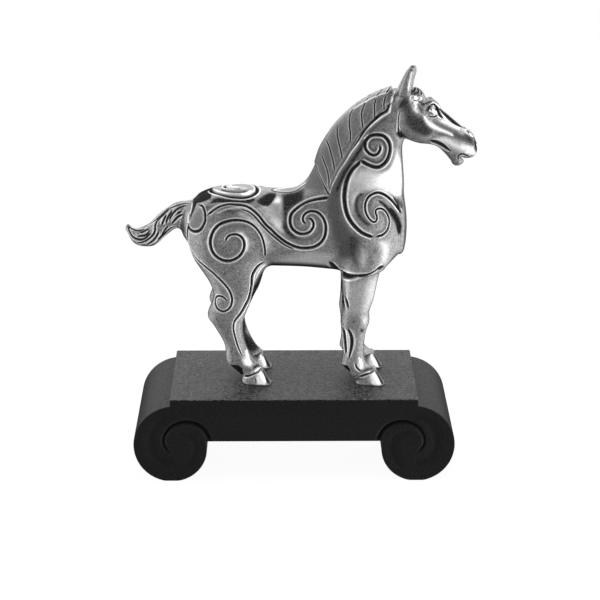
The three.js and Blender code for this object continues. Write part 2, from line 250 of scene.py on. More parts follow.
# %% Mane, tail and ears
mane = Limb([
    [[9.7, 104.6], [16.2, 91.4], 12.6, 0, 0.55],
    [[12.6, 112.8], [17.6, 97], 12, 0, 0.55],
    [[19.8, 123.6], [23.4, 107.6], 9.8, 0, 0.5],
    [[28.6, 131.8], [30, 118.4], 8.2, 0, 0.4],
    [[37.2, 137.2], [37.2, 126.8], 7.1, 0, 0.35],
    [[45.2, 140.2], [45.2, 134.2], 5.6, 0, 0.3],
], power=4, domes=(0.02, 0.02))
tail = Limb([
    [[-44, 86], [-46, 68], 5.5],
    [[-50.5, 85.9], [-51.2, 71.8], 5.2],
    [[-55.3, 85], [-55, 73], 5],
    [[-62.2, 80.3], [-59.8, 69.6], 4.9],
    [[-68, 75], [-65.8, 64.6], 4.6],
    [[-74, 72.8], [-74.3, 65.5], 3.3],
    [[-77.4, 75], [-78.6, 72.4], 1.1],
], domes=(0.3, 0.4))
ear = Limb([
    [[46, 133.4], [53.4, 133.4], 2.5, 4.4],
    [[47.8, 138.6], [53.8, 139], 2.7, 4.7],
    [[49.4, 142.7], [54.8, 142.7], 2.3, 4.6],
    [[50.9, 146.4], [55.6, 146.4], 1.7, 3.9],
    [[52.6, 149], [55.2, 149], 0.9, 3.4],
], paired=True)

# %% Haunch, shoulder and forelegs
FORE_TRACK = 12.3
HIND_TRACK = 11.8
haunch = Limb([
    [[-46, 84], [-18, 84], 11, 6.4],
    [[-49.5, 74], [-14.2, 74], 12.4, 6.2],
    [[-47.3, 62.5], [-12.6, 62.5], 10.2, 8.2],
    [[-39.5, 50.5], [-15.4, 50.5], 7.2, 11],
    [[-37.6, 43.5], [-18.8, 43.5], 5.8, 12],
    [[-40.3, 34.6], [-23, 33.6], 4.9, 12.6],
    [[-37, 28.6], [-23.9, 28.2], 4.4, 12.8],
    [[-32.6, 20], [-22.6, 20], 4, 12.4],
    [[-31.6, 11], [-19, 12.4], 4.3, 12],
    [[-25.6, 4.4], [-15.4, 8.2], 3.8, HIND_TRACK],
], power=2.3, domes=(0.5, 0.2), paired=True)
shoulder = Limb([
    [[16, 84], [44, 84], 10.5, 6],
    [[17.5, 72], [47, 72], 12.4, 6],
    [[19.6, 60], [46.4, 62], 11.6, 7],
    [[23.4, 53.4], [42.6, 56.6], 9.4, 9.4],
], domes=(0.6, 0.12), paired=True)
foreleg = Limb([
    [[23, 66], [44, 66], 7, 10],
    [[22.4, 53], [40, 54.5], 6.3, 11.2],
    [[22.6, 42.5], [37.4, 42.5], 5.3, 12.1],
    [[22.3, 35.6], [35.4, 36], 4.8, 12.5],
    [[21.9, 31], [35.4, 31], 4.9, 12.6],
    [[22.6, 25.6], [33.7, 25.6], 4.2, 12.9],
    [[23, 16], [32.9, 16], 3.9, 12.6],
    [[22.5, 9.4], [34.4, 10.6], 4.4, 12.4],
    [[27.2, 4.6], [37.8, 7.6], 4.2, FORE_TRACK],
], power=2.3, domes=(0.4, 0.2), paired=True)

# %% Hooves
HOOF_LENGTH = 14.2
HOOF_HEIGHT = 7.8
FORE_TOE = 43
HIND_TOE = -10.5


def hoof(toe, half, track):
    """A short block with a flat sole, its front wall sloping back from the toe to the hair line."""
    heel = toe - HOOF_LENGTH
    return Limb([
        [[heel + 1.4, -1.5], [toe + 1.2, -1.5], half, track, 0.2],
        [[heel + 0.8, 0], [toe + 0.2, 0], half, track, 0.2],
        [[heel + 0.1, 2.2], [toe - 1.5, 2.2], half - 0.2, track, 0.2],
        [[heel + 1.2, 4.2], [toe - 4.4, HOOF_HEIGHT], half - 0.5, track, 0.1],
    ], power=3.2, domes=(0.02, 0.03), paired=True)


hooves = [hoof(FORE_TOE, 4.6, FORE_TRACK), hoof(HIND_TOE, 4.2, HIND_TRACK)]


# %% The features of the head
def slot(points, path):
    """Distance to a channel that runs straight across the animal, through (x, z, radius) rows."""
    level = points * [1, 0, 1]
    return rod(level, [[x, 0, z, radius] for x, z, radius in path])


BROW = [[59.6, 4.2, 132.2, 1.2], [63, 3.2, 133.3, 1.4], [66.6, 2.3, 130.8, 1]]
NOSTRIL_RIM = [[77.4, 2.6, 120.6, 0.6], [80.1, 2.7, 119.1, 0.9], [82.4, 2.9, 116.5, 1.1],
               [83.8, 2.8, 113.7, 0.9]]
MOUTH = [[77.3, 107.3, 0.45], [79.2, 106.2, 0.7], [82, 105, 1.2], [86, 103.4, 1.7]]
features = [
    (merged, 0.8, pebble, (56, 2.4, 122.9), (9.4, 5.3, 7.5), -28),  # cheek
    (merged, 0.3, pebble, (57.1, 0, 137.1), (3.8, 3.3, 2.1), -40),  # forelock
    (merged, 0.35, pebble, (54.9, 4.1, 135.3), (2.2, 2.3, 2), -20),  # two knots below the ear
    (merged, 0.35, pebble, (57.9, 3.4, 135), (1.8, 2, 1.5), -40),
    (merged, 0.6, rod, BROW),
    (cut, 0.4, pebble, (63.7, 6.1, 129.7), (2.9, 1.7, 2.0), -35),  # eye socket
    (merged, 0.1, pebble, (63.5, 3.8, 129.6), (1.9, 1.8, 1.5), -30),  # eyeball
    (merged, 0.7, rod, NOSTRIL_RIM),
    (merged, 0.9, pebble, (81, 1.5, 111.2), (3.9, 2.5, 4.3), 8),  # upper lip
    (merged, 0.8, pebble, (76.2, 0, 105.4), (3, 3.1, 2.4), 20),  # chin
    (cut, 0.3, pebble, (84.6, 2.9, 111.6), (1.1, 1.2, 2.7), 20),  # nostril
    (cut, 0.3, slot, MOUTH),
]


def with_features(points, value):
    """Adds or cuts each feature of the head in turn, with the roundness of its edge."""
    for act, roundness, shape, *sizes in features:
        value = act(value, shape(points, *sizes), roundness)
    return value


# %% The whole body as one distance
FAR_EAR_LEAN = 0.07
EAR_FOOT = 133
before_the_head = ((neck, 7), (haunch, 4), (shoulder, 2.5), (head, 2.5))
after_the_head = ((foreleg, 0.6), *((one, 0.3) for one in hooves), (tail, 1.5), (mane, 0.3))


def ears(points):
    """Both ears, hollowed in front. The left one leans a little further forward."""
    lean = FAR_EAR_LEAN * np.maximum(points[:, 2] - EAR_FOOT, 0) * (points[:, 1] > 0)
    leaned = points - lean[:, None] * [1, 0, 0]
    return cut(ear.distance(leaned), pebble(leaned, (56.6, 5.2, 143.8), (2.3, 1.3, 5.4), 14), 0.25)


def bare_horse(points):
    """Every mass joined in turn, each with the roundness that its joint has on the casting."""
    body = trunk.distance(points)
    for part, roundness in before_the_head:
        body = merged(body, part.distance(points), roundness)
    body = with_features(points, body)
    for part, roundness in after_the_head:
        body = merged(body, part.distance(points), roundness)
    body = merged(body, ears(points), 1.2)
    return cut(body, points[:, 2], 0.05)


# %% [markdown]
# ## Laying a skin over a distance
#
# The surface is where the distance is nothing. Marching through a grid of cubes would give slivers, and a
# voxel remesh can't be told where the true surface lies. Surface nets give an even net of squares: one
# point in each cube that the surface crosses, and one square round each grid edge that it cuts. The net is
# then subdivided once and every point is pulled onto the true surface, so the corners come back sharp.

# %% Surface nets
def net(values, origin, step):
    """Points at the mean of each cut cube's edge crossings, and a square round each cut edge."""
    inside = values < 0
    shape = np.array(values.shape)
    strides = np.array([shape[1] * shape[2], shape[2], 1])
    sums = np.zeros((values.size, 3))
    count = np.zeros(values.size)
    squares = []
    for axis in range(3):
        near = [slice(None)] * 3
        far = [slice(None)] * 3
        near[axis] = slice(0, -1)
        far[axis] = slice(1, None)
        near, far = tuple(near), tuple(far)
        edge = np.argwhere(inside[near] != inside[far])
        start, end = values[near][tuple(edge.T)], values[far][tuple(edge.T)]
        crossing = edge.astype(float)
        crossing[:, axis] += start / (start - end)
        u, v = [k for k in range(3) if k != axis]
        ring = []
        for du, dv in ((1, 1), (0, 1), (0, 0), (1, 0)):
            cell = edge.copy()
            cell[:, u] -= du
            cell[:, v] -= dv
            index = cell @ strides
            ring.append(index)
            for k in range(3):
                sums[:, k] += np.bincount(index, crossing[:, k], values.size)
            count += np.bincount(index, minlength=values.size)
        ring = np.stack(ring, 1)
        turned = (start < 0) != (axis == 1)
        squares.append(np.where(turned[:, None], ring, ring[:, ::-1]))
    used = np.flatnonzero(count)
    number = np.full(values.size, -1)
    number[used] = np.arange(len(used))
    return sums[used] / count[used, None] * step + origin, number[np.vstack(squares)]


def grid_points(low, high, step):
    """The corners of a grid of cubes round the middle plane, and how many there are each way."""
    half = math.ceil(max(-low[1], high[1]) / step)
    axes = [np.arange(low[0], high[0], step), np.arange(-half, half + 1) * step,
            np.arange(low[2], high[2], step)]
    mesh = np.stack(np.meshgrid(*axes, indexing="ij"), -1)
    return mesh.reshape(-1, 3), [len(axis) for axis in axes]


# %% From a net to a Blender mesh
def new_object(name, points, faces):
    """A mesh object from whole arrays of points and squares."""
    mesh = bpy.data.meshes.new(name)
    mesh.from_pydata(points, [], faces)
    obj = bpy.data.objects.new(name, mesh)
    bpy.context.scene.collection.objects.link(obj)
    return obj


def work_in(obj):
    """The modifiers are worked into the mesh and taken off."""
    graph = bpy.context.evaluated_depsgraph_get()
    mesh = bpy.data.meshes.new_from_object(obj.evaluated_get(graph))
    obj.modifiers.clear()
    obj.data = mesh


def read_points(obj):
    """The mesh's points and their normals as two arrays."""
    count = len(obj.data.vertices)
    points, normals = np.empty(count * 3), np.empty(count * 3)
    obj.data.vertices.foreach_get("co", points)
    obj.data.vertex_normals.foreach_get("vector", normals)
    return points.reshape(-1, 3), normals.reshape(-1, 3)


def write_points(obj, points):
    """Puts an array of points back into the mesh."""
    obj.data.vertices.foreach_set("co", np.ascontiguousarray(points, float).ravel())
    obj.data.update()


def pulled(obj, distance, step, times):
    """Moves every point along its normal by its distance over the distance's slope, a few times over."""
    probe = step / 20
    for _ in range(times):
        at, out = read_points(obj)
        here = distance(at)
        slope = np.clip((distance(at + out * probe) - here) / probe, 0.4, 2)
        write_points(obj, at - out * np.clip(here / slope, -step, step)[:, None])


def refined(points, triangles, chosen):
    """Splits each chosen triangle in four, and its neighbours in two or three so that no gap opens."""
    size = len(points)
    ends = np.sort(np.stack([triangles, np.roll(triangles, -1, 1)], 2), 2).astype(np.int64)
    key = ends[..., 0] * size + ends[..., 1]
    split = np.unique(key[chosen])
    found = np.searchsorted(split, key).clip(0, len(split) - 1)
    middle = np.where(split[found] == key, size + found, -1)
    count = (middle >= 0).sum(1)
    after_whole = ((middle < 0).argmax(1) + 1) % 3
    first = np.where(count == 1, (middle >= 0).argmax(1), np.where(count == 2, after_whole, 0))
    turn = (np.arange(3) + first[:, None]) % 3
    corner, middle = np.take_along_axis(triangles, turn, 1), np.take_along_axis(middle, turn, 1)
    (a, b, c), (ab, bc, ca) = corner.T, middle.T
    pieces = [corner[count == 0]]
    for number, parts in ((1, [(a, ab, c), (ab, b, c)]), (2, [(ab, b, bc), (a, ab, bc), (a, bc, c)]),
                          (3, [(a, ab, ca), (ab, b, bc), (ca, bc, c), (ab, bc, ca)])):
        here = count == number
        pieces += [np.stack(part, 1)[here] for part in parts]
    return np.vstack([points, (points[split // size] + points[split % size]) / 2]), np.vstack(pieces)


def skin(name, distance, low, high, step, crowded):
    """A net over the surface of a distance, pulled onto it, and made finer again where crowded says."""
    points, shape = grid_points(np.array(low), np.array(high), step)
    values = distance(points).reshape(shape)
    flat, squares = net(values, points[0], step)
    obj = new_object(name, flat, squares)
    obj.modifiers.new("finer", "SUBSURF").levels = 1
    work_in(obj)
    pulled(obj, distance, step, 2)
    squares = np.empty(len(obj.data.polygons) * 4, int)
    obj.data.loops.foreach_get("vertex_index", squares)
    squares = squares.reshape(-1, 4)
    at = read_points(obj)[0]
    triangles = np.vstack([squares[:, [0, 1, 2]], squares[:, [0, 2, 3]]])
    at, triangles = refined(at, triangles, crowded(at)[triangles].any(1))
    bpy.data.objects.remove(obj)
    obj = new_object(name, at, triangles)
    pulled(obj, distance, step / 2, 1)
    print(name, len(squares), "squares, finer", len(triangles), "triangles")
    return obj


# %% [markdown]
# ## Marks on the skin
#
# The scrolls are cut with a round tool, which throws up a rim on both sides, painted bright as a highlight.
# Other marks stand proud, such as the edge of the mane, or are only soft hollows painted dark as shade.
# Each mark is a line drawn in the side view or from above and dropped straight onto the bare body. How far
# a point of the skin moves depends only on its distance from the line, so one function makes them all. Bump
# mapping would be cheaper, but the cuts show in the outline. A line's numbers are the points that it goes
# through in millimetres, then its widths and its depth.

# %% Drawing lines
def even(points, spacing=0.3):
    """A smooth line through the points, with its own points evenly apart."""
    smooth = smooth_path(points, 8)
    walked = np.concatenate([[0], np.cumsum(np.linalg.norm(np.diff(smooth, axis=0), axis=1))])
    stops = np.linspace(0, walked[-1], max(3, int(walked[-1] / spacing)))
    return np.stack([np.interp(stops, walked, column) for column in smooth.T], 1)


def dropped(distance, line, axis, start, end, levels=72):
    """Moves each point along an axis, from start towards end, until the distance turns negative."""
    heights = np.linspace(start, end, levels)
    points = np.insert(np.repeat(line, levels, 0), axis, np.tile(heights, len(line)), axis=1)
    value = distance(points).reshape(len(line), levels)
    below = value < 0
    k = np.clip(below.argmax(1), 1, levels - 1)
    row = np.arange(len(line))
    gap = value[row, k - 1] - value[row, k]
    height = heights[k - 1] + (heights[k] - heights[k - 1]) * value[row, k - 1] / np.where(gap, gap, 1)
    keep = below.any(1)
    return np.insert(line[keep], axis, height[keep], axis=1)


def line_distance(points, line, reach):
    """Distance from the line and the place along it from 0 to 1. Points beyond reach get reach."""
    away, along = np.full(len(points), float(reach)), np.zeros(len(points))
    near = np.flatnonzero(((points > line.min(0) - reach) & (points < line.max(0) + reach)).all(1))
    tangent = np.gradient(line, axis=0)
    tangent /= np.linalg.norm(tangent, axis=1)[:, None]
    for part in np.array_split(near, max(1, len(near) // 6000)):
        p = points[part]
        square = (p ** 2).sum(1)[:, None] - 2 * p @ line.T + (line ** 2).sum(1)
        k = square.argmin(1)
        gap = p - line[k]
        ahead = (gap * tangent[k]).sum(1)
        inner = (k > 0) & (k < len(line) - 1)
        straight = np.sqrt(np.maximum((gap ** 2).sum(1) - np.where(inner, ahead, 0) ** 2, 0))
        away[part] = np.minimum(straight, reach)
        along[part] = k / (len(line) - 1)
    return away, along


# %% Four kinds of line
# A view is the axis that the line is dropped along, and where it starts and stops.
FROM_SIDE, FROM_TOP, FROM_ABOVE_CREST = (1, 22, 0), (2, 100, 75), (2, 150, 125)

TAPER = 1.2  # how long a line's ends taper, in mm


class Mark:
    """A line on the body, with its width and its depth at even stations. A negative depth stands proud."""

    def __init__(self, line, width, depth, rim=0.0, dark=1.0, bright=0.0, square=True, view=FROM_SIDE,
                 halo=0.0, body=bare_horse):
        self.line = dropped(body, even(np.array(line, float)), *view)
        self.width, self.depth = np.atleast_1d(width), np.atleast_1d(depth)
        self.rim, self.dark, self.bright, self.square = rim, dark, bright, square
        self.halo, self.mirrored = halo, view[0] == 1
        length = np.linalg.norm(np.diff(self.line, axis=0), axis=1).sum()
        self.ends = min(0.5, TAPER / max(length, 0.1))

    def reach(self):
        return (6 if self.halo else 3.2) * self.width.max() + 0.4


def cut_line(line, width=0.5, depth=0.7, rim=0.17, bright=0.9, **more):
    """A groove: exp(-0.6 (r/w)^4) deep, with a rim at 1.8 widths painted bright as a highlight, and dark
    inside.
    """
    return Mark(line, width, depth, rim=rim, bright=bright, **more)


def fine_line(line, width=0.32, depth=0.38, rim=0.1, **more):
    """A thin cut, as between the locks of the mane, with its rim painted a little bright as a highlight."""
    return Mark(line, width, depth, rim=rim, bright=0.5, **more)


def ridge(line, width=0.5, height=0.32, bright=1.0, **more):
    """A raised edge: exp(-(r/w)^2) high, rubbed and painted bright as a highlight."""
    return Mark(line, width, -np.atleast_1d(height), dark=0.0, bright=bright, square=False, **more)


def trough(line, width=1.1, depth=0.25, dark=0.5, **more):
    """A soft hollow, painted dark as shade, with patina."""
    return Mark(line, width, depth, dark=dark, square=False, **more)


def beside(line, distance):
    """The line moved over to its left, looking the way it runs, in its own drawing."""
    line = even(np.array(line, float), 1.0)
    way = np.gradient(line, axis=0)
    way /= np.linalg.norm(way, axis=1)[:, None]
    return line + distance * np.stack([-way[:, 1], way[:, 0]], 1)


# %% [markdown]
# ## The scrolls
#
# The two big figures are pairs of arms that wind into each other. On the shoulder one cut comes up from the
# breast, turns in the middle like an S, and goes on round the bottom and up the neck. On the flank a double
# wave rolls forward from the tail and a second arm comes back from the withers to meet it.

# %% Scrolls of the neck and shoulder
neck_scroll = [[30.6, 108.1], [34.1, 106.2], [38, 105], [40.8, 105.9], [42.9, 108], [44, 110.7],
               [44.3, 113.8], [43.3, 116.8], [41.1, 119], [38, 119.6], [35.2, 119.1], [33.3, 117.3],
               [32.6, 114.9], [33.1, 112.9], [34.5, 111.3], [36.6, 110.4], [38.5, 111.1], [39.7, 113.2],
               [39.2, 115.2]]
shoulder_arm = [[30.6, 108.1], [29.4, 106.4], [27.2, 104.4], [25.2, 101.3], [23.9, 97.9], [23.3, 94.2],
                [23.2, 91], [23.7, 87.3], [24.7, 83.9], [26.3, 80.9], [28.5, 78.3], [31.1, 76],
                [34.2, 74.4], [36.6, 73.7]]
breast_arm = [[37.6, 73.7], [40.5, 74.2], [42.7, 75.7], [43.8, 78.1], [44, 80.8], [43.1, 83.5],
              [41.6, 85.6], [39.6, 86.6], [38, 86.2], [37.6, 84.8], [38.2, 83], [38, 81.3], [36.7, 80.6],
              [34.9, 81.9], [33.3, 84.5], [32.7, 87.3], [33.2, 90.2], [35.1, 92.6], [38.4, 93.6],
              [41.7, 92.4], [44.9, 89.6], [47.7, 85.8], [49.8, 82.2]]
marks = [
    cut_line(neck_scroll, (0.7, 0.7, 0.62, 0.5), 0.9, 0.26, halo=0.3),
    cut_line(shoulder_arm, (0.66, 0.8, 0.74, 0.62), 0.95, 0.26, halo=0.2),
    cut_line(breast_arm, (0.5, 0.4, 0.36, 0.44, 0.5, 0.66), 0.75, 0.24, halo=0.3),
    trough(beside(neck_scroll, 2.1), (0.8, 0.8, 0.6), 0.2, 0.75),
    trough(beside(neck_scroll[2:12], -2.6), 1.1, 0.1, 0.35),
    trough(beside(breast_arm[:9], 1.7), 0.6, 0.15, 0.4),
    trough(beside(breast_arm[12:20], -1.7), 0.6, 0.15, 0.5),
    trough([[31.9, 93.4], [29.8, 92.3], [28.7, 89.4], [28.9, 86.5], [30.2, 83.5], [32.4, 80.9], [35.1, 79]],
           (1.0, 1.3, 1.0), 0.3, 0.85),
    trough([[38.6, 90.4], [41.3, 88.3], [43.8, 85.4], [46.4, 81.6], [48, 78.3], [49.2, 73.6]],
           (0.5, 0.9, 1.3, 1.4, 1.2), (0.2, 0.6), 1.0),
    trough([[45.8, 90.8], [47.8, 87.6], [49.3, 83.3]], (0.4, 0.8, 0.9), 0.2, 1.0),
]

# %% Scrolls of the haunch and flank
haunch_scroll = [[-13.2, 63.6], [-13.4, 68], [-14.1, 71.9], [-15.4, 75.2], [-17.6, 78.3], [-20.6, 80.6],
                 [-24.1, 81.7], [-27.6, 81.9], [-31.1, 81.2], [-34.2, 79.8], [-36.4, 77.6], [-37.8, 74.8],
                 [-38.5, 71.6], [-38.1, 68.3], [-36.8, 65.5], [-34.9, 63.7], [-32.2, 62.5], [-29.1, 62.5],
                 [-26.4, 63.7], [-24.3, 65.7], [-23, 68.5], [-22.9, 71.7], [-24.2, 74.1], [-26.5, 75.3],
                 [-29, 75.1], [-30.8, 73.7], [-31.4, 71.6]]
wave = [[-39.7, 83.8], [-36.4, 86.5], [-33.8, 87.8], [-30.3, 88.6], [-26.8, 88.5], [-23.7, 88.2],
        [-21.1, 87.4], [-18.4, 85.7], [-15.8, 83.3], [-13.2, 79.9], [-10.5, 77.3], [-7.9, 74.6],
        [-5.3, 72.3], [-2.6, 70.4], [0.5, 68.9], [3.5, 68.2], [6.6, 68.2], [9.7, 68.9], [12.4, 70.8],
        [14.1, 73.7], [14.7, 77], [14.5, 80], [13.2, 83], [11, 85], [8.4, 85.5], [6.2, 85], [4.7, 83.7],
        [4.1, 82.2], [4.6, 80.6], [5.8, 79.8]]
withers_arm = [[16.1, 91.6], [11.5, 90.7], [8, 89.8], [4.5, 88.4], [1.4, 86.5], [-0.8, 84.6], [-1.7, 82.3],
               [-1.5, 79.4], [-0.4, 77.2], [1.8, 75.5], [4.4, 75], [7.1, 75.9], [8.8, 78.2], [9, 80.3],
               [7.9, 82], [6.4, 82.3]]
inner_wave = [[-24.1, 86.7], [-20.6, 85.3], [-18, 83.3], [-15.4, 80.4], [-12.7, 77.4], [-10.1, 74.8],
              [-7.5, 72.4], [-4.8, 70.2], [-2.2, 68.6], [0, 67.7]]
wave_rope = [[-35.4, 85], [-31, 86.6], [-26.8, 87.2], [-23.4, 87.2], [-20.3, 86.2], [-17.6, 84.4],
             [-15.2, 81.9], [-12.4, 78.7], [-9.8, 76], [-7.2, 73.5], [-4.6, 71.3], [-1.9, 69.5]]
marks += [
    cut_line(haunch_scroll, (0.36, 0.4, 0.55, 0.62, 0.62, 0.5, 0.4), 0.75, 0.2, halo=0.3),
    cut_line(wave, (0.45, 0.6, 0.5, 0.62, 0.62, 0.55, 0.45), 0.75, 0.2, halo=0.3),
    cut_line(withers_arm, (0.7, 0.6, 0.62, 0.6, 0.45), 0.8, 0.22, halo=0.4),
    cut_line(inner_wave, (0.26, 0.36, 0.42, 0.3), 0.45, 0.1),
    ridge(wave_rope, (0.36, 0.4, 0.55, 0.55, 0.4), (0.1, 0.2, 0.4, 0.4, 0.2)),
    trough(beside(haunch_scroll[5:], 2.5), (0.9, 1.0, 0.9, 0.7), 0.18, 0.42),
    trough(beside(haunch_scroll[-7:], 1.8), 0.8, 0.1, 0.4),
    trough(beside(wave[18:], 1.8), 0.8, 0.15, 0.5),
    trough(beside(withers_arm[2:], 1.7), 0.7, 0.15, 0.5),
    trough([[-5, 82], [-3.9, 76.4], [-0.8, 73.2], [3.1, 72.1], [6.8, 72.3], [10.1, 74.2], [11.9, 77.2],
            [11.6, 81]], 0.85, 0.2, 0.55),
]

# %% Lines down the hind leg
thigh_line = [[-48.6, 78.4], [-49.2, 74.2], [-48.9, 69.6], [-47.9, 66.3], [-45.8, 62.8], [-42, 59.6],
              [-37.9, 56.5], [-34.6, 53.4], [-31.9, 50.5], [-29.9, 47.6], [-28.8, 44.2], [-29, 41.2],
              [-30.4, 38.7], [-32.8, 37.5], [-35.2, 38.4], [-36.5, 40.4], [-36.5, 42.9], [-35.5, 44.5],
              [-33.5, 44.7], [-31.9, 43.6], [-31.1, 42.4]]
stifle_line = [[-13.6, 60.8], [-16.2, 59.4], [-18, 57.3], [-19.3, 54.4], [-19.7, 49.8], [-21, 43.4],
               [-22.7, 39.8], [-24.7, 36.3], [-27.5, 32.8], [-28.3, 29.2], [-27.5, 24.5], [-26.1, 19.3],
               [-24.4, 15.1]]
marks += [
    cut_line(thigh_line, (0.36, 0.46, 0.46, 0.46, 0.42, 0.36), 0.6, 0.14),
    cut_line(stifle_line, (0.5, 0.55, 0.5, 0.45, 0.7, 0.55, 0.36, 0.34, 0.34, 0.25),
             (0.6, 0.8, 0.8, 0.6, 0.5, 0.4), 0.14),
    ridge([[-12.9, 59.6], [-15, 57.6], [-16.8, 55], [-17.9, 52.4]], (0.5, 0.4, 0.2), 0.25, bright=0.7),
    cut_line([[-24.2, 4.3], [-22.4, 4.5], [-20.6, 5], [-18.8, 5.9], [-16.9, 6.9], [-15.2, 7.9]],
             (0.5, 0.45, 0.4, 0.34), 0.5, 0.1),
    fine_line([[-18.1, 3.6], [-17.9, 1.4]], 0.34, 0.4),
    ridge([[-22.2, 18], [-21.8, 14.4], [-21.4, 11.4]], 0.9, 0.22),
]

# %% Lines of the foreleg
undercut = [[16.6, 60.8], [17.9, 58.7], [19.8, 56.6], [21.8, 55], [23.7, 54.2], [26, 54.1], [29.2, 54.6],
            [32, 55.2], [34.7, 55.9], [37.1, 57], [39.2, 58.2], [41.8, 58.8]]
marks += [
    cut_line(undercut, (0.9, 1.0, 1.2, 1.1, 0.9, 0.7, 0.35, 0.35, 1.0), (0.7, 1.1, 1.1, 0.7, 0.6, 0.7), 0.14),
    cut_line([[23.7, 44.5], [24.5, 42], [25.5, 38.4]], (0.4, 0.6, 0.5), 0.5, 0.08),
    cut_line([[22.9, 28.6], [23.5, 24.9], [23.9, 21.4], [24.3, 17.8], [24.4, 15.4]], (0.97, 0.9, 0.75, 0.4),
             0.6, 0.06),
    cut_line([[25, 28.9], [26.4, 26.3], [27.1, 23.6], [27.1, 20.4], [26.5, 16.8], [25.7, 13.2]],
             (0.5, 0.7, 0.75, 0.55, 0.3), 0.6, 0.08),
    cut_line([[26.9, 4.1], [29, 4.1], [30.6, 4.4], [33.6, 5.5], [35.7, 6.4], [38, 7.3]],
             (0.5, 0.5, 0.4, 0.34), 0.5, 0.1),
    cut_line([[28.9, 11.8], [29.3, 9.8], [30.4, 8.3], [31.9, 7]], (0.25, 0.4, 0.4, 0.3), 0.35, 0.06),
    ridge([[30.6, 14], [31.2, 11], [31.6, 9.2]], 0.9, 0.3),
]

# %% Mane
mane_edge = [[46.6, 138.8], [45.4, 137], [44.8, 135.2], [44.3, 132.6], [43.7, 129.9], [42.4, 129],
             [40.1, 127.6], [37.6, 125.6], [35.5, 123.8], [33.4, 121.6], [31.7, 119.3], [30, 116.5],
             [27.9, 113.7], [26.1, 111.3], [24.4, 108.4], [22.6, 105.6], [20.9, 103.1], [19.5, 100.4],
             [18.1, 97.6], [16.9, 95], [16.5, 92.6]]
crest = [[25.6, 129.2], [29.3, 131.7], [32.1, 133.5], [34.8, 134.9], [37.6, 136.3], [41.1, 137.6],
         [43.9, 138.5]]
marks += [
    ridge(mane_edge, (0.42, 0.42, 0.4, 0.34, 0.3), 0.34),
    fine_line([[43.9, 134], [42.6, 130.6], [39.6, 128.6], [36.1, 125.6], [33.6, 122.9], [31.4, 119.9],
               [29, 116], [27.1, 113.4]], (0.4, 0.5, 0.4, 0.2), 0.4),
    ridge(crest, (0.3, 0.45, 0.5, 0.4), 0.3),
    fine_line([[10, 104.6], [11.3, 101.6], [13.2, 97.9], [15, 95.2], [16.4, 92.8]], 0.4, 0.45),
    trough([[43.2, 127.8], [40.4, 125.6], [37, 122.8], [34.4, 119.8]], (0.5, 1.1, 1.2), 0.2, 0.7),
    trough([[33.2, 118], [30.4, 112.8], [27, 107.8], [24, 103.4], [21.4, 98.4], [19.6, 94]],
           (1.0, 1.5, 1.5, 1.3), 0.2, 0.9),
]
partings = [
    [[12.8, 109.6], [14.2, 106.6], [15.4, 103.6], [16, 100.5], [16.2, 96.4]],
    [[14.8, 116.4], [16.3, 113.8], [17.1, 111.1], [18, 108.1], [18.8, 104.1]],
    [[20, 122.8], [20.1, 118.5], [21.2, 114.1], [21.8, 111.6], [22.3, 109]],
    [[27.4, 130.8], [25.8, 127.6], [25.6, 123.5], [26, 120.3], [25.8, 116.4]],
    [[32.8, 133.8], [31.2, 130], [31.2, 126.5], [31.6, 122.4]],
    [[37.7, 135.8], [36.9, 132.9], [37, 130], [37, 127]],
    [[42.2, 137.2], [41.3, 134], [41.4, 130.6]],
]
marks += [fine_line(line) for line in partings]
crest_cuts = [[[30.2, 0.2], [29, 1.8], [27.8, 3.6]], [[35.6, 0.2], [34.2, 2], [32.9, 4]],
              [[41, 0.2], [39.4, 2.4], [37.8, 4.6]], [[44.6, 0.4], [43.6, 2.6], [42.2, 4.8]]]
for line in crest_cuts:
    for side in (1, -1):
        marks.append(fine_line(np.array(line) * [1, side], 0.42, 0.5, view=FROM_ABOVE_CREST))

# %% Tail
tail_locks = [
    [[-55.3, 85], [-57.5, 83.7], [-59.4, 82.1], [-62.2, 79.6], [-64.7, 77.4], [-67.2, 75.4], [-70, 73.7]],
    [[-47.7, 85.6], [-50.2, 85.5], [-52.6, 85.1], [-54.9, 84.4], [-57, 83.5], [-58.6, 82.3], [-60.2, 80.8],
     [-62.2, 78.9], [-63.8, 77.1], [-64.6, 75.2], [-64.6, 73.3], [-65.5, 71.2], [-67.5, 69.1], [-70.4, 67.2],
     [-74, 66.4]],
    [[-48.9, 85], [-51.3, 84.5], [-53.7, 83.6], [-55.7, 81.9], [-57.3, 79.5], [-57.9, 77.5]],
    [[-59.1, 81], [-60.1, 79], [-61, 77], [-61.6, 75]],
    [[-51.7, 82.5], [-53.3, 81.8], [-54.7, 80.6]],
    [[-51, 81.4], [-52.9, 80.4], [-54.5, 79.1], [-55.8, 77.5], [-57, 76.2]],
    [[-62.8, 73.3], [-63.5, 71.2], [-65.1, 68.7], [-67.2, 66.8], [-69.3, 65.2]],
    [[-53.5, 74.9], [-55.1, 74.6], [-57.1, 74.2], [-58.7, 72.8], [-60.8, 70.4], [-63.2, 67.9], [-65.2, 66.3],
     [-67.6, 65]],
    [[-77.3, 74.7], [-76.4, 73.7], [-74.8, 72.7], [-72.8, 72.4], [-69.7, 73.1]],
    [[-72.5, 71.9], [-70.7, 72], [-69.1, 72.9], [-67.1, 73.8]],
    [[-56.2, 82.8], [-58, 80.4], [-59, 78.2], [-59.4, 76]],
    [[-58.2, 75.8], [-60, 73.2], [-61.4, 70.6], [-63.6, 68.4]],
    [[-67.1, 73.4], [-67.9, 71.9], [-69.5, 70.6], [-72.9, 70.1]],
    [[-77.5, 74.6], [-76.9, 72.1], [-75.6, 70], [-73.6, 68.7], [-70.7, 68.5], [-68.3, 70.1], [-66.2, 72.4]],
]
marks += [cut_line(line, (0.34, 0.46, 0.5, 0.46, 0.34), 0.5, 0.16, bright=0.9) for line in tail_locks]
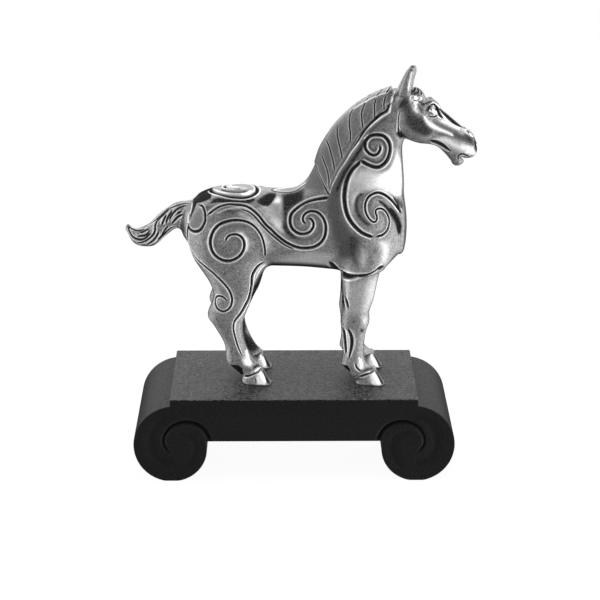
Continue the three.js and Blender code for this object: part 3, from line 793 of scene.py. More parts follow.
marks += [
    ridge([[-47.2, 86.3], [-47.5, 84.3], [-48.3, 81.8], [-48.8, 78]], 0.5, 0.3),
    cut_line([[-43.9, 87.3], [-42, 87.1], [-41, 85.3], [-40.7, 82.8], [-41, 80.4], [-43, 76.8], [-45.8, 75.5],
              [-47.9, 75.9], [-48.9, 77.6]], (0.45, 0.5, 0.5, 0.6, 0.5), 0.6, 0.12, bright=0.5),
]

# %% The coil on the croup and the tongue behind the withers
coil = [[-38.8, 2.4], [-37.6, -3], [-35.2, -7.1], [-30.2, -10.5], [-24.8, -11.4], [-21.2, -10.6], [-18, -8],
        [-16.8, -3.2], [-17.6, 2.6], [-20.2, 6.6], [-25.2, 8.2], [-30, 6.8], [-32.2, 3.6], [-31, 0],
        [-28, -2.4], [-24.3, -2.8], [-21.6, 0.2]]
inner_coil = [[-37.2, 1], [-34.6, -5.2], [-30.4, -8.6], [-25, -9.5], [-21.2, -7.8], [-19.2, -4.6]]
tongue = [[-10.4, 0.2], [-9.2, 2], [-7, 3.4], [-3.9, 4.2], [-0.3, 3.8], [3, 3.4], [5.4, 3.2]]
marks += [
    cut_line(coil, (0.7, 0.85, 0.8, 0.7, 0.7, 0.6, 0.5), 0.7, 0.45, bright=1.0, view=FROM_TOP),
    ridge(inner_coil, 0.8, 0.45, view=FROM_TOP),
    ridge([[-29, 5.4], [-29.6, 2.6], [-27.6, 0.6], [-24.6, 0.4]], 0.8, 0.45, view=FROM_TOP),
    trough([[-33.6, -0.6], [-31.6, -4.2], [-28.4, -6.2], [-24.9, -6.8], [-21.3, -5.2]], 0.9, 0.2, 0.8,
           view=FROM_TOP),
]
for side in (1, -1):
    marks.append(fine_line(np.array(tongue) * [1, side], 0.55, 0.5, view=FROM_TOP))
    marks.append(ridge(np.array(tongue) * [1, side] + [0.9, -0.9 * side], 0.45, 0.25, view=FROM_TOP))

# %% Lines of the head
marks += [
    ridge([[58.9, 128.3], [59.6, 127.3], [60.7, 125.4], [62.6, 123.4], [65.9, 121.4], [69.2, 120],
           [71.4, 119], [73.7, 117.8]], (0.5, 0.9, 1.0, 0.8, 0.5), (0.3, 0.7, 0.7, 0.5, 0.3)),
    ridge([[66.5, 125.6], [69.2, 124], [74.1, 121.6], [77.7, 120], [80.6, 118.8], [82.4, 117.6]],
          (0.6, 1.0, 1.0, 0.8), (0.3, 0.7, 0.7, 0.5)),
    ridge([[66.6, 116.6], [71, 114.9], [74.6, 113.3], [77.8, 111.9], [81.1, 110.3]], (1.3, 1.8, 1.8),
          (0.2, 0.4, 0.4)),
    cut_line([[66.8, 130.5], [69.9, 127.7], [73.4, 124.6], [76.8, 122.1], [79.4, 120.6], [81.4, 118.9]],
             (0.5, 1.1, 1.25, 1.1, 0.7, 0.35), 0.4, 0.05),
    trough([[63.9, 125.2], [67.4, 122.6], [71.4, 121], [75.6, 118.9]], 0.9, 0.2, 0.4),
    trough([[73.6, 118.2], [76.4, 117.4], [79.6, 116], [81.8, 114.2]], 1.0, 0.15, 0.5),
    cut_line([[61.6, 131.4], [62.8, 132.5], [64.4, 132.7], [66, 130.3], [67.2, 127.7], [68.9, 126]],
             (0.34, 0.34, 0.6, 0.7, 0.4), 0.4, 0.12),
    fine_line([[61.6, 127.8], [62.8, 127.2], [64.7, 127.1], [66.2, 128]], 0.26, 0.3, 0.1),
    cut_line([[62.6, 115.7], [65.3, 114.9], [67.7, 113.8], [69.6, 112.6], [71.3, 111.3], [72.8, 110.4]],
             (0.6, 0.9, 0.9, 0.7, 0.3), 0.5, 0.12),
    fine_line([[76.4, 106.2], [75.9, 107.6], [76.5, 108.9], [77.8, 109.4], [79.4, 108.8], [81.4, 107.6]],
              0.35, 0.3),
    cut_line([[48.6, 131], [48.1, 128.4], [47.8, 125], [47.9, 122.4], [48.3, 119.8]],
             (0.2, 0.26, 0.26, 0.5), 0.25, 0.05),
    trough([[47.6, 120.4], [49, 118.8], [50.6, 117.6]], 0.9, 0.3, 0.8),
    fine_line([[54.6, 135.6], [55.6, 134.9], [56.6, 134.9], [57.6, 135.8]], 0.24, 0.3),
    ridge([[54.9, 133.4], [55.6, 132.2], [55.7, 130.6]], 0.5, 0.35),
    trough([[57, 132.8], [58.2, 130.6], [58.6, 129]], 0.6, 0.25, 0.6),
    ridge([[53.7, 149.2], [53.4, 147.4], [52.8, 144.8], [52.3, 142.2], [52.1, 139.6]], 0.4, 0.22),
    trough([[48, 137.6], [50, 136.8], [52.4, 137.2]], 0.6, 0.2, 0.5),
]
forelock_curls = [[[54.4, 141], [55.6, 139.6], [54.8, 138.2]], [[56.2, 140], [57.2, 138.6], [56.4, 137.4]],
                  [[58, 138.8], [58.8, 137.6], [58.2, 136.6]]]
marks += [cut_line(line, 0.4, 0.4, 0.15) for line in forelock_curls]
print(len(marks), "marks,", round(sum(len(one.line) for one in marks) * 0.3), "mm in all")


# %% [markdown]
# ## Patches and spots
#
# Some places aren't lines. Sharp-edged dark patches beside the raised work and soft ones in the hollows are
# painted shade and painted dark reflection, with patina; the skin behind the fetlocks is cut right in, and
# small dimples sit at the knee, the breast and the chin. Edges that stand out were rubbed, and are painted
# bright as highlights.

# %% Patches and spots
class Patch:
    """The inside of a closed outline, sunk by a depth, darkened with painted shade and patina, or brightened
    with painted highlights and polish, up to its soft edge.

    The outline is drawn in the side view, or with a slant as if looking down at it: then every point counts
    as lower by the slant times its distance from the middle plane."""

    def __init__(self, outline, depth=0.0, dark=0.0, bright=0.0, soft=0.35, slant=0.0, sides=(1,)):
        self.outline, self.depth, self.dark, self.bright = np.array(outline, float), depth, dark, bright
        self.soft, self.slant, self.sides = soft, slant, sides

    def inside(self, x, z):
        """Signed distance to the outline, positive inside, by the nearest edge and the crossings of a ray."""
        best, odd = np.full(len(x), np.inf), np.zeros(len(x), bool)
        for (ax, az), (bx, bz) in zip(self.outline, np.roll(self.outline, -1, 0)):
            squared = (bx - ax) ** 2 + (bz - az) ** 2
            t = np.clip(((x - ax) * (bx - ax) + (z - az) * (bz - az)) / squared, 0, 1)
            best = np.minimum(best, np.hypot(x - ax - t * (bx - ax), z - az - t * (bz - az)))
            if az != bz:
                odd ^= ((az > z) != (bz > z)) & (x < ax + (z - az) * (bx - ax) / (bz - az))
        return np.where(odd, best, -best)

    def weight(self, points, out):
        """1 well inside, nothing outside. Its sides are 1 for skin that faces the way the outline was drawn
        from, -1 for skin that faces the middle plane, and 0 for skin that faces any way."""
        faces = out[:, 1] * np.sign(points[:, 1]) + self.slant * out[:, 2]
        shares = [np.clip(faces * side * 4, 0, 1) if side else np.ones(len(out)) for side in self.sides]
        facing = np.max(shares, 0)
        gap = self.inside(points[:, 0], points[:, 2] - self.slant * np.abs(points[:, 1]))
        return facing / (1 + np.exp(-np.clip(gap / self.soft * 3, -30, 30)))


def patina_and_shade_patch(outline, dark=0.95, **more):
    """A patch darkened as painted shade and painted dark reflection, with patina."""
    return Patch(outline, dark=dark, **more)


def polish_and_highlight_patch(outline, bright=0.8, soft=1.2, **more):
    """A patch painted bright as a highlight, and polished more than the skin round it."""
    return Patch(outline, bright=bright, soft=soft, **more)


FROM_ABOVE = math.tan(math.radians(18))
patches = [
    # Croup, haunch and tail
    patina_and_shade_patch([[-47.5, 85], [-46.4, 87.9], [-43.9, 90.4], [-39.3, 93], [-37.6, 91.6], [-38, 88.2],
             [-38.3, 86.7], [-41.7, 85.2], [-44.8, 84.6], [-45.7, 82.2], [-46.8, 79.7], [-48.2, 76],
             [-48.4, 79.8]], 1.0, depth=0.3, slant=FROM_ABOVE),
    patina_and_shade_patch([[-38.6, 84], [-37.3, 86.4], [-35, 87.2], [-30.2, 86.7], [-24.8, 86.4], [-18.6, 87.3],
             [-17.7, 85.7], [-20, 84.2], [-25.3, 84.2], [-30.1, 84.4], [-35, 84.6]], 1.0, depth=0.3,
             soft=0.5, slant=FROM_ABOVE),
    patina_and_shade_patch([[-43.4, 86.1], [-41.2, 84.9], [-41.2, 80.7], [-43.4, 77.2], [-46.7, 76.3], [-47.9, 78.1],
             [-45.8, 82.8]], 0.35, soft=0.5),
    polish_and_highlight_patch([[-77, 74.1], [-75.2, 72.6], [-73, 71.9], [-73.1, 69.6], [-75.2, 70.5], [-76.7, 72.4]], 1.0,
            soft=0.3),
    patina_and_shade_patch([[-73.2, 70.1], [-69.9, 70.6], [-69.4, 69.4], [-73.2, 69]], 0.9, soft=0.3),
    polish_and_highlight_patch([[-25, 79.4], [-21.5, 78], [-17.1, 75.7], [-14, 71.5], [-11.9, 66.5], [-10.1, 61.9],
            [-11.5, 60.1], [-13.2, 65.1], [-14.5, 69.7], [-17.1, 73.4], [-20.6, 76.2]], soft=0.8,
            slant=FROM_ABOVE),
    polish_and_highlight_patch([[-26.3, 70.6], [-24.1, 70.2], [-22, 67.9], [-20.4, 65.1], [-20.9, 61.9], [-22, 60.5],
            [-22, 65.1], [-23.7, 68.3]], 1.0, soft=0.5, slant=FROM_ABOVE),
    # Withers, back and flank
    patina_and_shade_patch([[-17.3, 85.3], [-14, 88.1], [-11.6, 89.7], [-8.4, 89.9], [-8.1, 87.9], [-10.2, 84.2],
             [-11.9, 82.6], [-14.3, 83], [-16.4, 84.2]], 1.0, depth=0.2, soft=0.6, slant=FROM_ABOVE),
    patina_and_shade_patch([[-5.4, 88.6], [-2.5, 89.9], [1.1, 90.6], [4.8, 91.6], [4.6, 85.4], [1.9, 83.8], [-0.7, 81.9],
             [-2.6, 79.4], [-2.9, 74.9], [-1.3, 70.6], [0.9, 68.3], [4, 67.2], [-0.4, 66.5], [-3.5, 69.2],
             [-5.4, 72.5], [-4.6, 76.2], [-5.2, 81.3]], 0.95, depth=0.2, soft=1.4, slant=FROM_ABOVE),
    polish_and_highlight_patch([[-8, 61], [4, 66.4], [18, 65], [16, 58.6], [2, 57.8]], 0.4, soft=1.8),
    polish_and_highlight_patch([[-14.5, 82.2], [-10.1, 83.2], [-7.9, 87.1], [-5.7, 86.6], [-6.1, 77.1], [-5.2, 70.2],
            [-8.3, 72.5], [-10.9, 76.2]], 1.0, slant=FROM_ABOVE),
    patina_and_shade_patch([[4.5, 91.5], [9, 104.5], [15.6, 93], [16, 90.8], [11, 89.6]], 0.5, soft=1.2, slant=FROM_ABOVE),
    polish_and_highlight_patch([[2.7, 70.6], [4.9, 70.1], [7.1, 72], [7.5, 74.3], [9.3, 74.3], [10.2, 72.9], [8.8, 70.1],
            [5.8, 68.3], [3.6, 67.8]], 1.0, soft=0.4, slant=FROM_ABOVE),
    # Neck, shoulder and breast
    patina_and_shade_patch([[16.5, 87.6], [22.8, 99.2], [30.1, 107.9], [30.7, 105.1], [24.9, 99.2], [22.3, 92.5],
             [22, 85.3], [23.3, 77], [26.4, 70.9], [31.2, 67.6], [30.7, 63.2], [28.7, 57.1], [20.8, 57.2],
             [17.5, 66], [16.1, 72], [15.4, 77], [13.3, 82.6], [10.7, 84.9]], 0.68, soft=1.6,
             slant=FROM_ABOVE),
    patina_and_shade_patch([[25.9, 75.8], [29.2, 74.7], [29.8, 71.2], [28.2, 65.2], [29.9, 60.5], [27.7, 60.9],
             [25.4, 66.2], [24.2, 71.1]], 0.8, soft=0.8),
    polish_and_highlight_patch([[31.5, 67.7], [33.8, 66.5], [32.7, 60], [31, 61.1]], 0.6),
    polish_and_highlight_patch([[38.8, 72.6], [44, 69.5], [43.6, 61.1], [40.1, 60.1], [41.1, 66.5]], 0.4),
    patina_and_shade_patch([[43.3, 86], [45, 86.2], [47.2, 83.6], [49, 80.2], [50.2, 76.4], [49.6, 72.8], [48.2, 73.2],
             [47.6, 77.6], [45.8, 81.8]], 1.0, soft=0.5),
    patina_and_shade_patch([[46.8, 89.2], [48, 89.6], [50.2, 87.2], [51.2, 84.4], [50.4, 83.2], [49, 85.6]], 0.6, soft=0.4),
    polish_and_highlight_patch([[25.4, 95.8], [28.6, 99.7], [33.8, 100.7], [39.1, 99], [44.4, 100.2], [47.6, 110.2],
            [50, 101.7], [50.3, 94], [49.5, 88.4], [45.6, 88.1], [39.1, 90.2], [32.8, 90.2], [30.1, 89.1],
            [27.5, 84.7], [26.9, 79.2], [25.1, 90.3]], soft=1.0, slant=FROM_ABOVE),
    # Mane
    patina_and_shade_patch([[10, 104.6], [12.6, 112.8], [19.8, 123.6], [28.6, 131.8], [37.2, 136.5], [44, 137.5],
             [43.5, 131], [36, 125], [30, 118], [23.4, 108], [17, 97], [15.8, 92.5]], 0.36, soft=1.5),
    patina_and_shade_patch([[9.7, 104.6], [12.6, 112.8], [19.8, 123.6], [25, 126], [22, 113], [16, 98], [15.8, 92.5]],
             0.55, soft=2.5),
    # Head and ear
    patina_and_shade_patch([[50.4, 136.1], [52.4, 137.2], [53.1, 134.1], [54.6, 130], [57.1, 128.7], [59.2, 127.6],
             [60, 125.4], [54.6, 126.8], [50.5, 129], [48.8, 132.3]], 0.75, soft=1.0),
    patina_and_shade_patch([[47.4, 131.3], [48.6, 134.3], [50.4, 136.6], [51.8, 136.6], [51.7, 132.9], [48.8, 131.5]], 0.9,
             soft=0.6),
    patina_and_shade_patch([[48.7, 138.8], [50.7, 144.5], [53, 148.8], [52.4, 143.4], [51.6, 137.7]], 0.3, soft=0.5),
    patina_and_shade_patch([[73.5, 119.7], [78.4, 118.4], [82.1, 116.5], [82.2, 113.9], [78.4, 115.3], [73.8, 117.2]], 0.6,
             soft=0.6),
    patina_and_shade_patch([[64.9, 119.4], [68.3, 119.6], [71.7, 117.4], [68.3, 117.7]], 0.6, soft=0.5),
    polish_and_highlight_patch([[66.8, 117.4], [70, 117.3], [75.9, 114.8], [82.5, 112.2], [84.2, 109], [81.5, 109], [76, 111.5],
            [70.1, 114.5]], 0.9, soft=0.7),
    patina_and_shade_patch([[48.8, 130.6], [54.6, 129.8], [59, 127.8], [60.7, 125], [64.4, 121.1], [63.2, 118.8],
             [60.2, 118.1], [54.7, 120.5], [51.4, 123.5]], 0.8, soft=1.3),
    patina_and_shade_patch([[47.3, 121.5], [48.9, 122], [51.1, 118.9], [52.2, 117.3], [49.1, 117.4], [47.3, 119.1]],
             soft=0.5),
    patina_and_shade_patch([[60.9, 129.7], [61.3, 131.3], [62.9, 132.5], [64.2, 132.5], [62.3, 130.8], [61.7, 129.4]], 1.0,
             soft=0.25),
    patina_and_shade_patch([[53.6, 137.6], [54.2, 141.4], [57.2, 140.4], [60.1, 138], [60, 136.9], [56.1, 137.5]], 0.85,
             soft=0.4),
    patina_and_shade_patch([[79.3, 120.6], [80, 122.2], [82, 121.6], [83.2, 119.4], [82, 119], [80.6, 119.8]], 1.0,
             depth=0.2, soft=0.25, slant=FROM_ABOVE),
    patina_and_shade_patch([[83.2, 117.4], [84.2, 114.6], [85, 111.4], [84.4, 109.2], [83.9, 111.6], [83.4, 114.6]],
             soft=0.25),
    polish_and_highlight_patch([[61.9, 130.1], [64.2, 132.5], [64.6, 130.2], [65.7, 128.2], [64.7, 127.9], [62.9, 129.4]], 1.0,
            soft=0.25),
    polish_and_highlight_patch([[67.5, 129.2], [69.8, 127.4], [72.3, 124.2], [70.6, 124.3], [68.5, 126]], 1.0, soft=0.4),
    polish_and_highlight_patch([[52.9, 135.4], [53.7, 137], [56.4, 136.8], [58.8, 135.9], [57.5, 134.3], [56.1, 133.5],
            [55.9, 132], [55.7, 130.4], [54.6, 131.2], [54.8, 133.6], [53.6, 134.1]], 1.0, soft=0.3),
    polish_and_highlight_patch([[55, 130.4], [56.3, 130.7], [57.8, 129.1], [58.8, 128.2], [57.1, 128.5], [55.5, 129.6]], 1.0,
            soft=0.3),
    # Legs
    patina_and_shade_patch([[-18.7, 49.6], [-15.8, 54.4], [-12.8, 57.4], [-11.2, 57], [-13.9, 50.2], [-16.8, 44.8],
             [-20.9, 40.3], [-20.3, 44.3]], 0.9, soft=0.6, sides=(0,)),
    # Darkening on the hind leg's inner side: painted shade.
    patina_and_shade_patch([[-38, 42], [-20, 42], [-22, 30], [-23, 18], [-16, 10], [-19, 8.5], [-26, 9], [-33, 20],
             [-36, 32]], 0.85, soft=1.0, sides=(-1,)),
    polish_and_highlight_patch([[23.9, 51.3], [39.2, 53.1], [38.2, 44.5], [35.9, 40.5], [33.6, 36.7], [24.6, 35]], 0.25),
    polish_and_highlight_patch([[31.3, 34.6], [34.2, 33.5], [33.1, 30.8]], 0.5),
    patina_and_shade_patch([[22, 44.4], [23.3, 44.3], [23.8, 41], [23.9, 38.6], [23.2, 38.2], [22, 41]], 1.0, soft=0.15,
             sides=(0,)),
    # Fetlocks and hooves
    # The cut behind each fetlock is painted black as shadow.
    patina_and_shade_patch([[-32.4, 10], [-29.3, 10.1], [-26.7, 10.4], [-25.2, 9.6], [-24.2, 8.4], [-23.7, 5.2],
             [-25.2, 4.2], [-28.5, 5], [-32, 7]], 1.0, depth=0.5, soft=0.25, sides=(0,)),
    patina_and_shade_patch([[21.8, 9.9], [25.1, 10.1], [26.1, 8.8], [26.5, 7.3], [26.3, 5], [27.3, 3.7], [25, 3],
             [22, 5.7], [20.9, 8.2]], 1.0, depth=0.5, soft=0.25, sides=(0,)),
    patina_and_shade_patch([[32.3, 7.3], [34, 8.6], [37.3, 8.3], [37.8, 7.7], [35.3, 7.5], [33.1, 6.9]], 0.85, soft=0.3),
    patina_and_shade_patch([[33.4, 3.3], [35.3, 5.2], [35.9, 2.6], [35.7, 1.8], [34, 2]], 0.65, soft=0.5),
    patina_and_shade_patch([[26.9, 2.1], [27.2, 3.8], [29.8, 3.8], [33, 4.7], [33.4, 3.4], [29.8, 2.1], [28.6, 1]], 0.75,
             soft=0.4),
    patina_and_shade_patch([[38.1, 7.4], [38.9, 6.7], [42.4, 1.4], [42.4, 0.5], [41.3, 0.9], [39.9, 3.9]], soft=0.25,
             sides=(1, -1)),
    patina_and_shade_patch([[-14.9, 7.4], [-14.3, 7.1], [-11.1, 1.6], [-11.3, 0.7], [-12.6, 1], [-13.8, 4.6]], soft=0.25,
             sides=(1, -1)),
    patina_and_shade_patch([[-19.5, 8.7], [-18.4, 9.9], [-15.8, 9.7], [-15.3, 8.5], [-17.3, 8.8], [-18.8, 7.5]], 0.85,
             soft=0.3),
    # Thin dark bands at the soles: a painted contact shadow.
    patina_and_shade_patch([[28, 0.3], [44, 0.3], [44, -0.5], [28, -0.5]], 0.9, soft=0.2, sides=(0,)),
    patina_and_shade_patch([[-26, 0.3], [-9, 0.3], [-9, -0.5], [-26, -0.5]], 0.9, soft=0.2, sides=(0,)),
    polish_and_highlight_patch([[30, 12.2], [31.6, 12.6], [32.5, 10.4], [32.3, 8.6], [31.2, 8.2], [29.9, 9.8]], 0.9, soft=0.5),
    polish_and_highlight_patch([[38.9, 7.9], [40.4, 7.6], [44.6, 1.2], [44.6, 0.2], [42.8, 0.5], [42.6, 1.6], [39.3, 6.9]], 1.0,
            soft=0.2, sides=(1, -1)),
    polish_and_highlight_patch([[-14.6, 8], [-13.2, 7.8], [-9, 1.2], [-9, 0.2], [-10.8, 0.5], [-10.8, 1.8], [-14, 7.2]], 1.0,
            soft=0.2, sides=(1, -1)),
    polish_and_highlight_patch([[35.5, 5.7], [37.7, 6.8], [39, 4.7], [40.7, 1.6], [40.4, 0.4], [37, 0.4], [35.8, 3.5]], 1.0,
            soft=0.35, sides=(1, -1)),
    polish_and_highlight_patch([[-24.2, 13.4], [-22.3, 14.1], [-20, 11.2], [-20.5, 9.9], [-23.6, 10.4]], 1.0, soft=0.5),
    polish_and_highlight_patch([[-18.8, 7], [-17.3, 8.3], [-15.2, 8.4], [-15.8, 7.6], [-18.4, 6.5]], 1.0, soft=0.25),
    polish_and_highlight_patch([[-17.6, 5.5], [-15.8, 6.9], [-14.3, 5], [-13.3, 2.4], [-13.6, 0.5], [-17.3, 0.5], [-17.8, 4]],
            1.0, soft=0.35, sides=(1, -1)),
]
# Where a dimple is, its radius and depth, and how dark it is painted, as shade in the hollow.
dimples = [(27.8, 32.2, 0.8, 0.25, 0.75), (31.9, 27.5, 0.9, 0.3, 1.0), (37.2, 66.9, 1.2, 0.2, 0.5),
           (40, 58, 1.2, 0.6, 1.0), (74, 104, 0.6, 0.1, 0.8), (-29.1, 17, 0.5, 0.15, 0.8),
           (-28.7, 12.3, 0.5, 0.2, 0.9)]


# %% How far each point moves, and its colour
# A line's rim is raised and painted bright as a highlight; its halo is a ring of painted shade beyond the
# rim.
RIM_AT, RIM_WIDE = 1.75, 0.5  # in widths of the line
HALO_AT, HALO_WIDE = 3.6, 1.3
BELLY_LOW, BELLY_HIGH = 45, 66


def bell(q, centre=0.0, wide=1.0):
    """exp(-((q - centre) / wide)^2)"""
    return np.exp(-((q - centre) / wide) ** 2)


def folded(points):
    """The points with those of the right side mirrored over to the left."""
    return np.column_stack([points[:, 0], np.abs(points[:, 1]), points[:, 2]])


def relief_of_lines(points, marks):
    """What the lines do: how deep and how high, the rim, the patina with painted shade, and the polish with
    painted highlights.
    """
    side = folded(points)
    sunk, raised, rim, dark, bright = (np.zeros(len(points)) for _ in range(5))
    for one in marks:
        away, along = line_distance(side if one.mirrored else points, one.line, one.reach())
        here = np.flatnonzero(away < one.reach())
        away, along = away[here], along[here]
        width = np.interp(along, np.linspace(0, 1, len(one.width)), one.width)
        depth = np.interp(along, np.linspace(0, 1, len(one.depth)), one.depth)
        fade = np.clip(np.minimum(along, 1 - along) / one.ends, 0.3, 1)
        q = away / (width * fade)
        body = np.exp(-0.6 * q ** 4) if one.square else bell(q)
        edge = fade * bell(q, RIM_AT, RIM_WIDE)
        patina_and_shade_share = one.dark * (np.exp(-((q / 1.2) ** 4)) if one.square else body)
        for total, value in ((sunk, np.maximum(depth, 0) * fade * body),
                             (raised, np.maximum(-depth, 0) * fade * body),
                             (rim, one.rim * edge),
                             (dark, patina_and_shade_share + fade * one.halo * bell(q, HALO_AT, HALO_WIDE)),
                             (bright, one.bright * (edge if one.rim else body))):
            total[here] = np.maximum(total[here], value)
    return sunk, raised, rim, dark, bright


def relief(points, out, marks, patches=(), dimples=()):
    """Height to move along the normal, the darkening of patina and painted shade, and the brightening of
    polish and painted highlights, all from the place on the bare body.
    """
    sunk, raised, rim, dark, bright = relief_of_lines(points, marks)
    cuts = dark.copy()
    bright *= 1 - cuts
    patch_polish_and_highlight = np.zeros(len(points))
    for one in patches:
        weight = one.weight(points, out)
        sunk = np.maximum(sunk, one.depth * weight)
        dark = np.maximum(dark, one.dark * weight * (1 - 0.8 * bright))
        patch_polish_and_highlight = np.maximum(patch_polish_and_highlight, one.bright * weight)
    height = points[:, 2]
    # The underside of the belly between these heights is darkened: painted shade under the body.
    under = np.clip((-out[:, 2] - 0.6) * 5, 0, 1) * (height > BELLY_LOW) * (height < BELLY_HIGH)
    dark = np.maximum(dark, 0.9 * under)
    facing = np.clip(out[:, 1] * np.sign(points[:, 1]) * 4, 0, 1)
    for x, z, radius, depth, shade in dimples:
        weight = np.exp(-((points[:, 0] - x) ** 2 + (points[:, 2] - z) ** 2) / radius ** 2) * facing
        sunk = np.maximum(sunk, depth * weight)
        dark = np.maximum(dark, shade * weight)
    lift = (rim + raised) * (1 - cuts) - sunk
    return lift, dark, np.maximum(bright, patch_polish_and_highlight * (1 - dark))


# %% Where the skin has to be finer
SHARP_EDGE = 0.9  # patches with a softer edge, and lines broader than a millimetre, need no finer skin
NARROW_LINE = 1.0


def near(points, marks, patches=()):
    """Whether a point is close enough to a cut or a patch's edge that the skin there has to be finer."""
    side = folded(points)
    close = np.zeros(len(points), bool)
    for one in patches:
        if one.soft < SHARP_EDGE:
            gap = one.inside(side[:, 0], side[:, 2] - one.slant * side[:, 1])
            close |= np.abs(gap) < one.soft + 0.3
    for one in marks:
        reach = 2.6 * one.width.max()
        if one.width.max() < NARROW_LINE:
            close |= line_distance(side if one.mirrored else points, one.line, reach)[0] < reach
    return close


# %% The horse's finished skin
HORSE_STEP = 0.8
horse = skin("cast_horse", bare_horse, (-83, -20, -2), (90, 20, 156), HORSE_STEP,
             lambda at: near(at, marks, patches))
at, out = read_points(horse)
height, dark, bright = relief(at, out, marks, patches, dimples)
write_points(horse, at + out * height[:, None])
print("deepest", -height.min().round(2), "mm, highest", height.max().round(2), "mm")

# %% [markdown]
# ## The plinth
#
# The wooden block is one outline carried straight across: a raised plate, a roll at each end that turns
# under, and a beam between them. Its distance is the larger of the outline's and the two faces', with the
# edges eased. A cut seam and two soft channels on both faces make each roll end a volute. Its outline is a
# patch like those on the horse, and its channels are marks, so the same functions make both.

# %% Outline of the plinth
HALF_LENGTH = 75.0
HALF_DEPTH = 35.0
HALF_PLATE = 57.75
PLATE_STEP = 3.2
PLINTH_HEIGHT = 40.5
BEAM_UNDERSIDE = 19.8
ROLL_CENTRE = 16.85
ROLL_AT_TOP = PLINTH_HEIGHT - PLATE_STEP - ROLL_CENTRE
ROLL_PITCH = 6.7
EASED = 0.5  # radius of the edges


def roll_radius(angle):
    """The roll tightens evenly by its pitch in each whole turn."""
    return ROLL_AT_TOP - ROLL_PITCH * (90 - angle) / 360


roll_x = HALF_LENGTH - roll_radius(0)
first = math.degrees(math.acos((HALF_PLATE - roll_x) / ROLL_AT_TOP))
last = -180 - math.degrees(math.asin((BEAM_UNDERSIDE - ROLL_CENTRE) / roll_radius(-190)))
angle = np.linspace(first, last, 90)
roll = np.stack([roll_x + roll_radius(angle) * np.cos(np.radians(angle)),
                 np.maximum(ROLL_CENTRE + roll_radius(angle) * np.sin(np.radians(angle)), 0)], 1)
corner = [[HALF_PLATE - EASED, PLINTH_HEIGHT], [HALF_PLATE - 0.15, PLINTH_HEIGHT - 0.15],
          [HALF_PLATE, PLINTH_HEIGHT - EASED]]
right_half = np.vstack([corner, roll]) - [0, PLINTH_HEIGHT]
outline = Patch(np.vstack([right_half, (right_half * [-1, 1])[::-1]]))


def bare_plinth(points):
    """Distance to the outline carried across the depth, with a rounded edge where it meets the two faces."""
    across = np.abs(points[:, 1]) - HALF_DEPTH + EASED
    around = EASED - outline.inside(points[:, 0], points[:, 2])
    outside = np.hypot(np.maximum(across, 0), np.maximum(around, 0))
    return outside + np.minimum(np.maximum(across, around), 0) - EASED


# %% Volutes
seam = [[-38.9, -21], [-39.5, -19.2], [-41.7, -15], [-44.7, -12.5], [-47.8, -11.3], [-50.9, -11],
        [-54, -11.7], [-57.1, -13.3], [-59.4, -15.8], [-60.9, -19.1], [-60.9, -22], [-60, -24.1],
        [-58.5, -25.6]]
outer_channel = [[-55, -8.6], [-61.3, -10.4], [-64.8, -14.5], [-66.5, -18.7], [-66.5, -22.8], [-65.5, -26.2],
                 [-63.2, -29.1], [-60.5, -30.8], [-56, -32]]
inner_channel = [[-54.8, -17], [-50.2, -17.1], [-47.2, -19.1], [-45.7, -22.9], [-46.1, -27.1], [-48.1, -30.8],
                 [-51.3, -32.9]]
FROM_END = (1, 37, 30)
volutes = []
# The last number of each line is how dark its seam or channel is painted, as shade in the recess.
for side in (1, -1):
    for line, width, depth, recess_darkness in ((seam, (1.0, 0.95, 0.85, 0.75, 0.6), 1.6, 1.0),
                                     (outer_channel, (1.2, 2.6, 2.8, 2.0), (0.2, 0.9, 0.9, 0.4), 0.3),
                                     (inner_channel, (1.0, 2.2, 2.4, 1.6), (0.3, 0.8, 0.7, 0.3), 0.3)):
        volutes.append(Mark(np.array(line) * [side, 1], width, depth, dark=recess_darkness, square=recess_darkness == 1,
                            view=FROM_END, body=bare_plinth))
PLINTH_STEP = 1.2
plinth = skin("carved_plinth", bare_plinth, (-79, -38, -43), (79, 38, 3), PLINTH_STEP,
              lambda at: near(at, volutes) | (outline.inside(at[:, 0], at[:, 2]) < 1))
at, out = read_points(plinth)
height, grime, _ = relief(at, out, volutes)
write_points(plinth, at + out * height[:, None])

# %% [markdown]
# ## Fewer triangles where the skin is plain
#
# Over a million triangles are more than a piece needs. Collapsing the edges that change the shape least
# keeps the lines crisp and thins out the smooth flanks. The patina with its painted shade, the polish with
# its painted highlights and the painted shade in the plinth's seams are painted on the points before that,
# so they are thinned along with them.
#
# The photograph's horse stands in a bright set, and no part of it mirrors the black wood. So the plinth is
# hidden from mirror rays, and only from them.

# %% Thin the mesh and set it in the frame
def thinned(obj, triangles):
    """Collapses the least important edges until that many triangles are left."""
    obj.modifiers.new("lean", "DECIMATE").ratio = min(1, triangles / len(obj.data.polygons))
    work_in(obj)


def in_frame(obj):
    """Millimetres from the soles to metres in the row's frame, with flat faces shaded flat."""
    write_points(obj, (read_points(obj)[0] + soles) / 1000)
    obj.data.shade_smooth()
    if obj == plinth:
        obj.modifiers.new("flat_faces", "WEIGHTED_NORMAL").weight = 80
        work_in(obj)


def paint(obj, name, values):
    """A number for each point, which the materials read by name."""
    obj.data.attributes.new(name, "FLOAT", "POINT").data.foreach_set("value", np.asarray(values, np.float32))


HORSE_TRIANGLES = 190000
PLINTH_TRIANGLES = 60000
paint(horse, "patina", dark)
paint(horse, "polish", bright)
paint(plinth, "grime", grime)
plinth.visible_glossy = False
for piece, triangles, node, slot_name in ((horse, HORSE_TRIANGLES, "horse", "pewter"),
                                          (plinth, PLINTH_TRIANGLES, "plinth", "black_wood")):
    thinned(piece, triangles)
    in_frame(piece)
    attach(piece, "root")
    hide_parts(node)
    print(piece.name, len(piece.data.polygons), "triangles")

